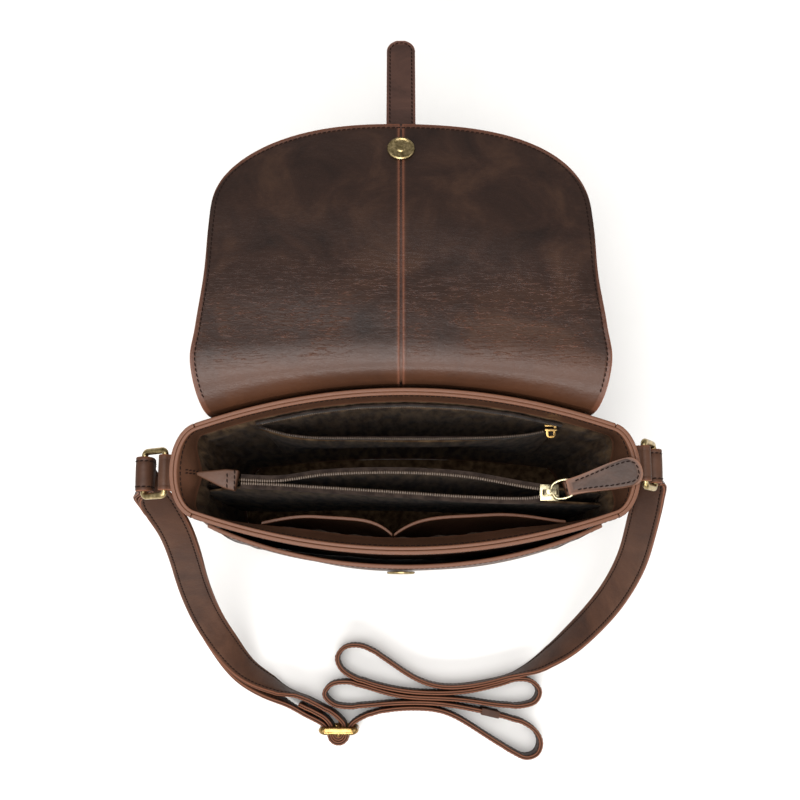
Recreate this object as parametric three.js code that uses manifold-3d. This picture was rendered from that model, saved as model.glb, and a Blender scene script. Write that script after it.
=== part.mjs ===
// A leather shoulder bag that stands open on its base, its flap thrown back and its strap laid in front.
// Millimetres, +Z up, +Y towards the flap, +X to the right seen from the front.
// The origin is the middle of the base, on the surface that the bag stands on.
import * as THREE from 'three';
import { mergeVertices } from 'three/addons/utils/BufferGeometryUtils.js';
import Module from 'manifold-3d';

const wasm = await Module();
wasm.setup();

// Driving dimensions of the body.
const BODY_HEIGHT = 235;
const MOUTH_WIDTH = 262;
const MOUTH_DEPTH = 93;
const LEATHER = 2;
const FACING = 1.6;
const FACING_HEIGHT = 20;
const LINING = 1;
const BASE_THICKNESS = 2.6;
const GAP = 0.3;
const RIM_ROUNDING = 1;

// Driving dimensions of the flap and its closing tab.
const FLAP_WIDTH = 226;
const FLAP_REACH = 166;
const FLAP_DROP = 22;
const FLAP_ROOT_DEPTH = 30;
const FLAP_CORNER = 63;
const FLAP_SHIFT = -2.2;
const FLAP_OUTER = 1.8;
const FLAP_FACING = 1.3;
const FLAP_SIDE_DROOP = 3;
const TAB_WIDTH = 17.8;
const TAB_THICKNESS = 2.8;
const TAB_OVERHANG = 69;
const TAB_SEAT = 48;
const SNAP_DIAMETER = 16.6;
const SNAP_FROM_EDGE = 19;

// Driving dimensions of the pockets and the zip compartment.
const POCKET_BOTTOM = 16;
const POCKET_BELOW_RIM = 15;
const POCKET_GAPE = 5.2;
const SNAP_SOCKET_BELOW_RIM = 46;
const DIVIDER_THICKNESS = 1.2;
const DIVIDER_BOTTOM = 22;
const ZIP_BELOW_RIM = 12;
const ZIP_HALF_LENGTH = 90;
const ZIP_CENTRE_X = -4;
const ZIP_STARTS = -0.97;
const ZIP_STOPS = 0.86;
const TAPE_WIDTH = 3.6;
const TAPE_THICKNESS = 0.9;
const SLIP_WALL = 1.6;
const SLIP_BELOW_RIM = 30;
const SLIP_DEPTH = 95;
const SLIP_GAPE = 3;
const SLIP_STRAIGHTNESS = 0.55;
const SLIP_LEFT_SIDE = -85;
const SLIP_RIGHT_SIDE = 95;
const SLIP_MEETING = -7;
const SLIP_APART = 1;
const BACK_POCKET_LEFT = -88;
const BACK_POCKET_RIGHT = 93;
const BACK_POCKET_BELOW_RIM = 45;
const BACK_POCKET_DEPTH = 130;
const BACK_POCKET_GAPE = 6;
const BACK_TAPE_WIDTH = 6;
const BACK_ZIP_OPEN = 8;
const ZIP_END_HEIGHT = 8;
const ZIP_SLIDER_LENGTH = 10.5;
const ZIP_SLIDER_WIDTH = 9;
const PULL_THICKNESS = 3.2;
const PULL_ROOT_WIDTH = 9.2;
const PULL_END_WIDTH = 15.8;

// Driving dimensions of the strap and its metal.
const STRAP_WIDTH = 20;
const STRAP_THICKNESS = 2.8;
const RING_WIRE = 3.8;
const RING_REACH = 17;
const RING_TAB_HEIGHT = 34;
const RING_BAR_BELOW_RIM = 17.5;
const SLIDER_LENGTH = 29;
const SLIDER_BAR = 2.8;

// The body's outline at a few heights, as shares of the height and of the mouth's half width and half depth.
// corner: how far back the corner seams stand, as a share of the half depth there.
const BODY_SECTIONS = [
  { up: 0, width: 0.93, depth: 0.79, corner: 0.8 },
  { up: 0.02, width: 0.948, depth: 0.82, corner: 0.79 },
  { up: 0.06, width: 0.955, depth: 0.85, corner: 0.78 },
  { up: 0.3, width: 0.968, depth: 0.93, corner: 0.7 },
  { up: 0.65, width: 0.985, depth: 0.995, corner: 0.62 },
  { up: 0.88, width: 0.992, depth: 0.99, corner: 0.57 },
  { up: 1, width: 1, depth: 1, corner: 0.56 },
];
const SEAM_SHARE = 0.905;
const WALL_ROWS = [0, 0.02, 0.06, 0.3, 0.5, 0.7, 0.88, 1];
const PANEL_COLUMNS = 12;
const GUSSET_COLUMNS = 6;

// The inner leather and lining hang loose: pulled in at each gusset by the zip compartment, and slack in front.
const GUSSET_PULL = 10;
const FRONT_SLACK = 7;
const LOOSE_SECTIONS = [
  { up: 0, pull: 0, slack: 0 },
  { up: 0.35, pull: 0, slack: 0.1 },
  { up: 0.65, pull: 0.45, slack: 0.95 },
  { up: 0.87, pull: 0.95, slack: 1 },
  { up: 0.92, pull: 1, slack: 0.8 },
  { up: 1, pull: 0, slack: 0 },
];

// Side view of the flap from the rim to its free edge, and on to the tip of the closing tab.
// back: share of the flap's reach behind the mouth. up: share of the drop at the free edge, from the rim.
const FLAP_PROFILE = [
  { back: 0.022, up: -0.55 },
  { back: 0.03, up: 0.05 },
  { back: 0.062, up: 0.36 },
  { back: 0.12, up: 0.47 },
  { back: 0.2, up: 0.42 },
  { back: 0.3, up: 0.31 },
  { back: 0.49, up: 0.07 },
  { back: 0.68, up: -0.27 },
  { back: 0.86, up: -0.7 },
  { back: 1, up: -1 },
  { back: 1.2, up: -1.4 },
  { back: 1.4, up: -1.79 },
];
const FLAP_EDGE_ROW = 10;

// Half width of the flap along its length, as shares of its length and of its half width.
const FLAP_OUTLINE = [
  { along: 0, width: 0.93 },
  { along: 0.12, width: 0.965 },
  { along: 0.24, width: 1.035 },
  { along: 0.34, width: 1.02 },
  { along: 0.48, width: 0.995 },
  { along: 0.62, width: 0.99 },
  { along: 0.82, width: 0.975 },
  { along: 1, width: 0.96 },
];
const FLAP_CORNER_POWER = 2.4;
const FLAP_ROWS = [0, 0.07, 0.12, 0.155, 0.19, 0.225, 0.27, 0.34, 0.43, 0.56, 0.7, 0.82, 0.92, 1];

// The two zip tapes seen from above: along is a share of the zip's half length, the places are millimetres
// off the bag's middle as shares of the compartment's gape.
const ZIP_GAPE = 14;
const ZIP_LINES = [
  { along: -1, back: -0.2, front: -0.53 },
  { along: -0.75, back: -0.25, front: -0.6 },
  { along: -0.45, back: 0, front: -0.72 },
  { along: 0, back: 0.08, front: -0.9 },
  { along: 0.42, back: -0.08, front: -1.08 },
  { along: 0.8, back: -0.5, front: -1.15 },
  { along: 0.97, back: -0.66, front: -0.99 },
];

// Value of a table's column at a place along its key, on a smooth curve through the rows.
function rowValue(table, key, place, column) {
  let row = 0;
  while (row < table.length - 2 && place > table[row + 1][key]) {
    row += 1;
  }
  const from = table[row];
  const to = table[row + 1];
  const before = table[Math.max(row - 1, 0)];
  const after = table[Math.min(row + 2, table.length - 1)];
  const span = to[key] - from[key];
  const share = THREE.MathUtils.clamp((place - from[key]) / span, 0, 1);
  const slopeFrom = ((to[column] - before[column]) / (to[key] - before[key])) * span;
  const slopeTo = ((after[column] - from[column]) / (after[key] - from[key])) * span;
  const cube = share ** 3;
  const square = share ** 2;
  return (2 * cube - 3 * square + 1) * from[column] + (cube - 2 * square + share) * slopeFrom
    + (3 * square - 2 * cube) * to[column] + (cube - square) * slopeTo;
}

function mix(from, to, share) {
  return from + (to - from) * share;
}

function smooth(from, to, value) {
  return THREE.MathUtils.smoothstep(value, from, to);
}

// A closed body from positions and triangles, turned so that its faces point out.
function closedBody(positions, index) {
  const corner = (k) => new THREE.Vector3().fromArray(positions, index[k] * 3);
  let volume = 0;
  for (let k = 0; k < index.length; k += 3) {
    volume += corner(k).dot(corner(k + 1).cross(corner(k + 2)));
  }
  if (volume < 0) {
    index.reverse();
  }
  const geometry = new THREE.BufferGeometry();
  geometry.setAttribute('position', new THREE.Float32BufferAttribute(positions, 3));
  geometry.setIndex(index);
  geometry.computeVertexNormals();
  return geometry;
}

// A wall between two faces given as functions of two shares; wraps joins its last column to its first.
// Both faces are cut along the same diagonals, so that walls lying on one another never cross.
function wallBetween(outer, inner, columns, rows, wraps = false) {
  const across = wraps ? columns : columns + 1;
  const positions = [];
  for (const face of [outer, inner]) {
    for (let j = 0; j <= rows; j += 1) {
      for (let i = 0; i < across; i += 1) {
        positions.push(...face(i / columns, j / rows).toArray());
      }
    }
  }
  const layer = across * (rows + 1);
  const at = (side, i, j) => side * layer + j * across + (i % across);
  const index = [];
  const quad = (a, b, c, d) => index.push(a, b, c, a, c, d);
  for (let i = 0; i < columns; i += 1) {
    for (let j = 0; j < rows; j += 1) {
      quad(at(0, i, j), at(0, i + 1, j), at(0, i + 1, j + 1), at(0, i, j + 1));
      quad(at(1, i, j), at(1, i, j + 1), at(1, i + 1, j + 1), at(1, i + 1, j));
    }
    quad(at(1, i, 0), at(1, i + 1, 0), at(0, i + 1, 0), at(0, i, 0));
    quad(at(0, i, rows), at(0, i + 1, rows), at(1, i + 1, rows), at(1, i, rows));
  }
  for (let j = 0; !wraps && j < rows; j += 1) {
    quad(at(0, 0, j), at(0, 0, j + 1), at(1, 0, j + 1), at(1, 0, j));
    quad(at(1, columns, j), at(1, columns, j + 1), at(0, columns, j + 1), at(0, columns, j));
  }
  return closedBody(positions, index);
}

// A bar of rectangular section along stations, each with a place, a width direction and two sizes.
function ribbon(stations) {
  const positions = [];
  stations.forEach((station, k) => {
    const before = stations[Math.max(k - 1, 0)].place;
    const after = stations[Math.min(k + 1, stations.length - 1)].place;
    const along = after.clone().sub(before).normalize();
    const wide = station.wide.clone().addScaledVector(along, -station.wide.dot(along)).normalize();
    const face = wide.clone().cross(along);
    for (const [a, b] of [[-1, -1], [1, -1], [1, 1], [-1, 1]]) {
      const corner = station.place.clone();
      corner.addScaledVector(wide, (a * station.width) / 2);
      corner.addScaledVector(face, (b * station.thickness) / 2);
      positions.push(...corner.toArray());
    }
  });
  const index = [];
  const quad = (a, b, c, d) => index.push(a, b, c, a, c, d);
  for (let k = 0; k < stations.length - 1; k += 1) {
    for (let side = 0; side < 4; side += 1) {
      const next = (side + 1) % 4;
      quad(4 * k + side, 4 * k + next, 4 * k + 4 + next, 4 * k + 4 + side);
    }
  }
  const last = 4 * (stations.length - 1);
  quad(3, 2, 1, 0);
  quad(last, last + 1, last + 2, last + 3);
  return closedBody(positions, index);
}

// A closed wire along a loop of points, with a many-sided section.
function closedWire(points, diameter, sides, stepsPerPoint) {
  const curve = new THREE.CatmullRomCurve3(points, true, 'centripetal');
  const steps = points.length * stepsPerPoint;
  return new THREE.TubeGeometry(curve, steps, diameter / 2, sides, true);
}

// A geometry as a solid for joining and cutting, and a solid back as a geometry.
function toSolid(geometry) {
  const plain = geometry.clone();
  plain.deleteAttribute('normal');
  plain.deleteAttribute('uv');
  const merged = mergeVertices(plain, 1e-4);
  return new wasm.Manifold(new wasm.Mesh({
    numProp: 3,
    vertProperties: new Float32Array(merged.attributes.position.array),
    triVerts: new Uint32Array(merged.index.array),
  }));
}

function toGeometry(solid) {
  const mesh = solid.getMesh();
  const geometry = new THREE.BufferGeometry();
  geometry.setAttribute('position', new THREE.Float32BufferAttribute(mesh.vertProperties, 3));
  geometry.setIndex(Array.from(mesh.triVerts));
  geometry.computeVertexNormals();
  return geometry;
}

// The body's outline runs once round, seen from above: back panel, left gusset, front panel, right gusset.
const PANEL_SPAN = 0.36;
const GUSSET_SPAN = 0.5 - PANEL_SPAN;
const BACK_START = 0;
const LEFT_START = PANEL_SPAN;
const FRONT_START = 0.5;
const RIGHT_START = 0.5 + PANEL_SPAN;

function bodySizes(height) {
  const up = height / BODY_HEIGHT;
  const halfWidth = (MOUTH_WIDTH / 2) * rowValue(BODY_SECTIONS, 'up', up, 'width');
  const halfDepth = (MOUTH_DEPTH / 2) * rowValue(BODY_SECTIONS, 'up', up, 'depth');
  const seamX = halfWidth * SEAM_SHARE;
  const seamY = halfDepth * rowValue(BODY_SECTIONS, 'up', up, 'corner');
  return { halfWidth, halfDepth, seamX, seamY };
}

function outlineAt(share, height) {
  const { halfWidth, halfDepth, seamX, seamY } = bodySizes(height);
  const turn = share - Math.floor(share);
  const front = turn >= FRONT_START;
  const half = front ? turn - FRONT_START : turn;
  const flip = front ? -1 : 1;
  if (half <= PANEL_SPAN) {
    const across = 1 - (2 * half) / PANEL_SPAN;
    const bulge = (halfDepth - seamY) * (1 - across ** 2);
    return new THREE.Vector2(flip * seamX * across, flip * (seamY + bulge));
  }
  const reach = (halfWidth - seamX) / 0.75;
  const shoulder = seamY * 0.74;
  const gusset = new THREE.CubicBezierCurve(
    new THREE.Vector2(-flip * seamX, flip * seamY),
    new THREE.Vector2(-flip * (seamX + reach), flip * shoulder),
    new THREE.Vector2(-flip * (seamX + reach), -flip * shoulder),
    new THREE.Vector2(-flip * seamX, -flip * seamY),
  );
  return gusset.getPoint((half - PANEL_SPAN) / GUSSET_SPAN);
}

// A point of the body's wall, inset millimetres inside its outer face.
function wallPoint(share, height, inset) {
  const step = 0.004;
  const here = outlineAt(share, height);
  const along = outlineAt(share + step, height).sub(outlineAt(share - step, height)).normalize();
  return new THREE.Vector3(here.x - along.y * inset, here.y + along.x * inset, height);
}

// How far the inner leather and the lining stand off the outer wall.
function looseness(share, height) {
  const up = height / BODY_HEIGHT;
  const turn = share - Math.floor(share);
  const fromGusset = Math.min(
    Math.abs(turn - (LEFT_START + GUSSET_SPAN / 2)),
    Math.abs(turn - (RIGHT_START + GUSSET_SPAN / 2)),
  );
  const pull = 1 - smooth(0, GUSSET_SPAN * 0.5, fromGusset);
  const fromFront = Math.abs(turn - (FRONT_START + PANEL_SPAN / 2)) / (PANEL_SPAN / 2);
  const slack = 1 - smooth(0.45, 1, fromFront);
  return GUSSET_PULL * pull * Math.max(rowValue(LOOSE_SECTIONS, 'up', up, 'pull'), 0)
    + FRONT_SLACK * slack * Math.max(rowValue(LOOSE_SECTIONS, 'up', up, 'slack'), 0);
}

// The shares where every wall has its columns, so that walls lying on one another have the same facets.
const roundShares = [];
for (const [start, span, columns] of [
  [BACK_START, PANEL_SPAN, PANEL_COLUMNS],
  [LEFT_START, GUSSET_SPAN, GUSSET_COLUMNS],
  [FRONT_START, PANEL_SPAN, PANEL_COLUMNS],
  [RIGHT_START, GUSSET_SPAN, GUSSET_COLUMNS],
]) {
  for (let i = 0; i < columns; i += 1) {
    roundShares.push(start + (span * i) / columns);
  }
}

// A leather wall that follows the body between two shares of the outline and over given heights, or all round.
// inset gives the outer face's distance inside the body's outer face. The top edge is rounded.
function bodyWall({ start = 0, span = 1, heights, inset, thickness, columns, wraps = false, trim = 0 }) {
  const rows = heights.length;
  const top = heights[rows - 1];
  const face = (side) => (u, v) => {
    const row = Math.round(v * rows);
    const rounded = row === rows;
    const height = rounded ? top : Math.min(heights[row], top - RIM_ROUNDING);
    const round = roundShares[Math.round(u * columns) % roundShares.length];
    const share = wraps ? round : start + mix(trim, span - trim, u);
    const squeeze = rounded ? thickness / 4 : 0;
    const depth = inset(share, height) + (side === 0 ? squeeze : thickness - squeeze);
    return wallPoint(share, height, depth);
  };
  return wallBetween(face(0), face(1), columns, rows, wraps);
}

function heightRows(bottom, top) {
  return WALL_ROWS.map((share) => mix(bottom, top, share));
}

function outerWall(start, span, columns) {
  const seamTrim = (GAP / 2) / (span === PANEL_SPAN ? MOUTH_WIDTH : MOUTH_DEPTH) * span * 1.6;
  return bodyWall({
    start,
    span,
    heights: heightRows(0, BODY_HEIGHT),
    inset: () => 0,
    thickness: LEATHER,
    columns,
    trim: seamTrim,
  });
}

// A flat plate inside the walls at the bottom.
function floorPlate(bottom, thickness, inset) {
  const outline = roundShares.map((share) => {
    const point = wallPoint(share, 0, inset);
    return new THREE.Vector2(point.x, point.y);
  });
  const plate = new THREE.ExtrudeGeometry(new THREE.Shape(outline), { depth: thickness, bevelEnabled: false });
  plate.translate(0, 0, bottom);
  return plate;
}

// The flap's side view as a chain of short steps with its running length.
const backOfMouth = MOUTH_DEPTH / 2;
const flapSeat = FLAP_FACING + GAP * 2.2;
const flapRootWall = bodySizes(BODY_HEIGHT - FLAP_ROOT_DEPTH).halfDepth;
const flapPoints = [new THREE.Vector3(0, flapRootWall + flapSeat, BODY_HEIGHT - FLAP_ROOT_DEPTH)].concat(
  FLAP_PROFILE.map(({ back, up }) => new THREE.Vector3(0, backOfMouth + back * FLAP_REACH, BODY_HEIGHT + up * FLAP_DROP)),
);
const flapCurve = new THREE.CatmullRomCurve3(flapPoints, false, 'centripetal');
const flapSteps = 400;
const flapLengths = flapCurve.getLengths(flapSteps);
const flapLength = flapLengths[Math.round((flapSteps * FLAP_EDGE_ROW) / (flapPoints.length - 1))];
const flapFullLength = flapLengths[flapSteps];

// Place on the flap's middle layer, length millimetres from its root, with the direction to its lined side.
function flapProfile(length) {
  const along = THREE.MathUtils.clamp(length / flapFullLength, 0, 1);
  const place = flapCurve.getPointAt(along);
  const ahead = flapCurve.getTangentAt(along);
  return { place, lined: new THREE.Vector3(0, -ahead.z, ahead.y) };
}

// How far the free edge's round corners come back, across is -1 to 1.
function cornerCut(across, depth, power) {
  return depth * (1 - (1 - Math.min(Math.abs(across), 1) ** power) ** (1 / power));
}

function flapPoint(u, v, offset) {
  const across = Math.sin((u * Math.PI) / 2);
  const row = FLAP_ROWS[Math.round(v * (FLAP_ROWS.length - 1))];
  const length = row * flapLength - row ** 3 * cornerCut(across, FLAP_CORNER, FLAP_CORNER_POWER);
  const { place, lined } = flapProfile(length);
  const share = length / flapLength;
  const halfWidth = (FLAP_WIDTH / 2) * rowValue(FLAP_OUTLINE, 'along', share, 'width');
  const { halfDepth, seamX, seamY } = bodySizes(BODY_HEIGHT);
  const x = across * halfWidth;
  const sag = (halfDepth - seamY) * ((x + FLAP_SHIFT) / seamX) ** 2;
  const follow = 1 - 0.72 * smooth(0.1, 0.26, share) - 0.28 * smooth(0.26, 0.6, share);
  const droop = FLAP_SIDE_DROOP * Math.abs(across) ** 3 * smooth(0.25, 0.7, share);
  return new THREE.Vector3(x + FLAP_SHIFT, place.y - sag * follow, place.z - droop).addScaledVector(lined, offset);
}

// One layer of the flap between two shares across it and two offsets from its middle.
// Its columns line up with those of the other layers, and only its own edge stops short of the seam.
function flapLayer(from, to, low, high) {
  const columns = (Math.round(to) - Math.round(from)) * 7;
  const rows = FLAP_ROWS.length - 1;
  const place = (u) => THREE.MathUtils.clamp(mix(Math.round(from), Math.round(to), u), from, to);
  return wallBetween(
    (u, v) => flapPoint(place(u), v, high),
    (u, v) => flapPoint(place(u), v, low),
    columns,
    rows,
  );
}

function closingTab() {
  const under = -GAP / 2 - FLAP_OUTER - GAP;
  const tipLength = flapLength + TAB_OVERHANG;
  const point = (u, v, offset) => {
    const across = Math.sin(mix(-1, 1, u) * (Math.PI / 2));
    const end = tipLength - cornerCut(across, TAB_WIDTH / 2, 2);
    const { place, lined } = flapProfile(mix(flapLength - TAB_SEAT, end, v));
    return new THREE.Vector3(FLAP_SHIFT + (across * TAB_WIDTH) / 2, place.y, place.z).addScaledVector(lined, offset);
  };
  return wallBetween((u, v) => point(u, v, under), (u, v) => point(u, v, under - TAB_THICKNESS), 8, 8);
}

// A round metal button turned about its own axis, with a raised rim and centre.
function snapDisc(diameter) {
  const radius = diameter / 2;
  const profile = [
    [0, 0], [0.94, 0], [1, 0.08], [0.9, 0.19], [0.78, 0.13], [0.32, 0.13], [0.26, 0.19], [0, 0.2],
  ].map(([out, up]) => new THREE.Vector2(out * radius, up * radius));
  return new THREE.LatheGeometry(profile, 14);
}

// The zip compartment's two walls hang between the gussets from the zip down.
const zipHeight = BODY_HEIGHT - ZIP_BELOW_RIM;

function zipLine(along, side) {
  const y = rowValue(ZIP_LINES, 'along', along, side) * ZIP_GAPE;
  return new THREE.Vector3(ZIP_CENTRE_X + along * ZIP_HALF_LENGTH, y, zipHeight);
}

const liningInset = LEATHER + GAP;

// Where the inner face of a gusset's lining or facing stands, at a distance behind the middle and a height.
function gussetFace(start, back, height) {
  const facePoint = (share) => wallPoint(share, height, liningInset + FACING + looseness(share, height));
  const rising = start === RIGHT_START;
  let low = start;
  let high = start + GUSSET_SPAN;
  for (let k = 0; k < 30; k += 1) {
    const middle = (low + high) / 2;
    if ((facePoint(middle).y < back) === rising) {
      low = middle;
    } else {
      high = middle;
    }
  }
  return facePoint(low).x;
}

function dividerWall(side) {
  const sign = side === 'back' ? 1 : -1;
  const point = (u, v, offset) => {
    const height = mix(DIVIDER_BOTTOM, zipHeight, v);
    const along = mix(ZIP_STARTS, ZIP_STOPS, u);
    const top = zipLine(along, side);
    const middle = (zipLine(along, 'back').y + zipLine(along, 'front').y) / 2;
    const apart = mix(DIVIDER_THICKNESS / 2 + GAP / 2, Math.abs(top.y - middle), smooth(0, 1.1, v));
    const back = middle + sign * (apart + offset);
    const low = gussetFace(LEFT_START, back, height) + GAP * 1.5;
    const high = gussetFace(RIGHT_START, back, height) - GAP * 1.5;
    const x = mix(mix(low, high, u), top.x, smooth(0.8, 1, v));
    return new THREE.Vector3(x, back, height);
  };
  return wallBetween(
    (u, v) => point(u, v, DIVIDER_THICKNESS / 2),
    (u, v) => point(u, v, -DIVIDER_THICKNESS / 2),
    12,
    6,
  );
}

function zipTape(side) {
  const steps = 16;
  const stations = [];
  for (let i = 0; i <= steps; i += 1) {
    const place = zipLine(mix(-0.985, 0.93, i / steps), side);
    place.z += GAP + TAPE_THICKNESS / 2;
    stations.push({ place, wide: new THREE.Vector3(0, 1, 0), width: TAPE_WIDTH, thickness: TAPE_THICKNESS });
  }
  return ribbon(stations);
}

// A folded leather end that leads the zip to a gusset: flat and tall there, wide and low at the zip.
function zipEnd(gussetX, gussetY, zipX, zipY, zipWidth, top) {
  const sections = [
    { along: 0, width: 0.16, tall: 1 },
    { along: 0.3, width: 0.45, tall: 0.95 },
    { along: 0.7, width: 0.9, tall: 0.8 },
    { along: 1, width: 1, tall: 0.75 },
  ];
  const tall = ZIP_END_HEIGHT;
  const stations = sections.map((section) => ({
    place: new THREE.Vector3(
      mix(gussetX, zipX, section.along),
      mix(gussetY, zipY, section.along),
      top - (tall * section.tall) / 2,
    ),
    wide: new THREE.Vector3(0, 1, 0),
    width: zipWidth * section.width,
    thickness: tall * section.tall,
  }));
  return ribbon(stations);
}

// Strap routes: x and y of the strap's middle, its height as a share of the body's, and the direction that
// its width points. Where the strap lies on the floor, x and y are enough.
// Chosen by hand from the photograph: down from the right ring, then folded to and fro on its edge.
const ON_EDGE = STRAP_WIDTH / 2 + GAP;
const DOWN = [0, 0, -1];
const RIGHT_RUN = [
  [149.4, 3.5, 0.8085, -0.25, 0.95, -0.05],
  [148.2, -6, 0.7702, -0.6, 0.75, -0.2],
  [146.8, -23, 0.6936, -0.82, 0.48, -0.36],
  [146.4, -46, 0.5447, -0.78, 0.45, -0.42],
  [141.2, -65, 0.417, -0.72, 0.5, -0.5],
  [134.4, -79.1, 0.3149, -0.65, 0.45, -0.6],
  [124.9, -92.4, 0.2298, -0.55, 0.4, -0.72],
  [115.7, -103.4, 0.1532, -0.45, 0.35, -0.82],
  [104.2, -113.1, 0.0936, -0.3, 0.3, -0.9],
  [93.2, -120.5, 0.0553, -0.2, 0.2, -0.96],
];
const BUNDLE = [
  [79.3, -126.8], [61.1, -131.2], [44, -134], [26.9, -134.6], [13, -130.9], [-3.5, -121.2], [-20, -109.5],
  [-33, -104.6], [-43.5, -106], [-48.6, -112.8], [-46, -120.8], [-35.4, -127.9], [-15.1, -134.2],
  [3, -137.4], [26.9, -138.4], [45, -137.6], [66, -133.2], [82, -128.6], [93, -130], [98.8, -136.8],
  [95.5, -144.2], [84, -147.6], [68.8, -147], [45, -143.2], [26.9, -142.1], [3, -141.3], [-12, -138.9],
  [-26, -134.2], [-41, -130.6], [-53, -132.4], [-57.8, -139], [-51.5, -146], [-38.9, -148.2],
  [-20.9, -146.4], [3, -145], [26.9, -145.8],
];
const BEFORE_SPLICE = [45, -148.6];
const SPLICE = [62.5, -152.2];
const AFTER_SPLICE = [75, -155.2];
const SPLICE_HEIGHT = ON_EDGE + 1;
const LOWER_LOOP = [
  [86.6, -159.1], [95.5, -165.3], [98.8, -173], [96, -180.6], [88, -183.4], [77.6, -179],
  [56.3, -166.1], [38.4, -154.9], [26.9, -150.2], [8.8, -148.9], [-15.1, -150.4], [-28, -154.4],
];
const SLIDER_AT = [-47, -164];
const SLIDER_EDGE = SLIDER_BAR + GAP * 1.5 + STRAP_WIDTH / 2;
const LEFT_RUN = [
  [-98.5, -133.2, 0.0809, 0.3, 0.3, -0.93],
  [-114.1, -122, 0.1319, 0.5, 0.3, -0.8],
  [-126.2, -102.9, 0.2043, 0.75, 0.25, -0.6],
  [-134.7, -82.4, 0.3234, 0.88, 0.2, -0.42],
  [-138.7, -62.4, 0.4511, 0.95, 0.1, -0.3],
  [-139.5, -40.3, 0.6043, 0.98, 0, -0.2],
  [-143, -24, 0.7021, 0.97, 0.25, -0.1],
  [-150, -12.5, 0.766, 0.8, 0.6, -0.05],
  [-153, -4, 0.8085, 0.3, 0.95, 0],
];
const LAYER_SPREAD = [3.2, 2.2, 1.75, 1.75, 1.75, 1.75, 1.8, 2, 2.8];

// Half of the ring's reach outward and down from the bar in its leather tab.
function ringFrame(side) {
  const sign = side === 'left' ? -1 : 1;
  const tilt = THREE.MathUtils.degToRad(side === 'left' ? 35 : 60);
  const y = side === 'left' ? 0.5 : 5.7;
  const height = BODY_HEIGHT - RING_BAR_BELOW_RIM;
  const start = side === 'left' ? LEFT_START : RIGHT_START;
  const wall = Math.abs(wallPoint(start + GUSSET_SPAN / 2, height, 0).x);
  const bar = new THREE.Vector3(sign * (wall + GAP + 6.5), y, height);
  const out = new THREE.Vector3(sign * Math.cos(tilt), 0, -Math.sin(tilt));
  return { sign, wall, bar, out, outer: bar.clone().addScaledVector(out, RING_REACH) };
}

const ringFrames = { left: ringFrame('left'), right: ringFrame('right') };
const wrapRadius = RING_WIRE / 2 + GAP + STRAP_THICKNESS / 2;

// Control rows for the strap's turn over a ring's outer bar, from its inner to its outer side.
function ringTurn({ sign, outer }) {
  const rows = [];
  const steps = 6;
  for (let k = 0; k <= steps; k += 1) {
    const angle = Math.PI * (1 - k / steps);
    const x = outer.x + sign * Math.cos(angle) * wrapRadius;
    rows.push([x, outer.y, outer.z + Math.sin(angle) * wrapRadius, 0, 1, 0]);
  }
  return rows;
}

// Control rows for a turn round the slider's centre bar, from its left to its right or back.
function sliderTurn(radius, entry, exit) {
  const rows = [[entry, 3.5]];
  const steps = 6;
  for (let k = 0; k <= steps; k += 1) {
    const angle = Math.PI * (1 + k / steps);
    rows.push([Math.cos(angle) * radius, -2.5 + Math.sin(angle) * radius]);
  }
  rows.push([exit, 3.5]);
  return rows.map(([x, y]) => [SLIDER_AT[0] + x, SLIDER_AT[1] + y, SLIDER_EDGE, ...DOWN]);
}

// The left run's control rows moved to its outer or inner side, for the two layers of the strap.
const raised = (rows) => rows.map(([x, y, up, ...wide]) => [x, y, up * BODY_HEIGHT, ...wide]);
const rightRun = raised(RIGHT_RUN);
const leftRun = raised(LEFT_RUN);

function leftLayer(side) {
  const rows = leftRun.map(([x, y, z, wx, wy, wz], k) => {
    const before = leftRun[Math.max(k - 1, 0)];
    const after = leftRun[Math.min(k + 1, leftRun.length - 1)];
    const along = new THREE.Vector3(before[0] - after[0], before[1] - after[1], before[2] - after[2]).normalize();
    const face = new THREE.Vector3(wx, wy, wz).cross(along).normalize();
    const place = new THREE.Vector3(x, y, z).addScaledVector(face, side * LAYER_SPREAD[k]);
    return [...place.toArray(), wx, wy, wz];
  });
  return rows;
}

// A strap through control rows: its middle and its width direction on one smooth curve each.
function strapAlong(rows) {
  const middle = new THREE.CatmullRomCurve3(rows.map(([x, y, z]) => new THREE.Vector3(x, y, z)), false, 'centripetal');
  const widths = new THREE.CatmullRomCurve3(rows.map((row) => new THREE.Vector3(row[3], row[4], row[5])), false);
  const steps = Math.round((rows.length - 1) * 1.7);
  const stations = [];
  for (let k = 0; k <= steps; k += 1) {
    const place = middle.getPoint(k / steps);
    place.z = Math.max(place.z, ON_EDGE);
    stations.push({
      place,
      wide: widths.getPoint(k / steps),
      width: STRAP_WIDTH,
      thickness: STRAP_THICKNESS,
    });
  }
  return ribbon(stations);
}

function onEdge(points, height) {
  return points.map(([x, y]) => [x, y, height, ...DOWN]);
}

// Control rows just below a ring on its outer (1) or inner (-1) side, where the strap hangs straight.
function ringLead({ sign, outer }, side) {
  return [[outer.x + sign * side * (wrapRadius - GAP), outer.y - 0.3, outer.z - 7.5, 0, 1, 0]];
}

function strapLong() {
  const { outer } = ringFrames.right;
  const turn = ringTurn(ringFrames.right);
  const tail = [[outer.x - 2.2, outer.y - 1, outer.z - 16, -0.05, 0.99, 0], ...ringLead(ringFrames.right, -1)];
  const lead = ringLead(ringFrames.right, 1);
  const end = onEdge([BEFORE_SPLICE, [SPLICE[0] - GAP, SPLICE[1] + GAP * 0.2]], SPLICE_HEIGHT);
  return strapAlong([...tail, ...turn, ...lead, ...rightRun, ...onEdge(BUNDLE, ON_EDGE), ...end]);
}

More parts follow.
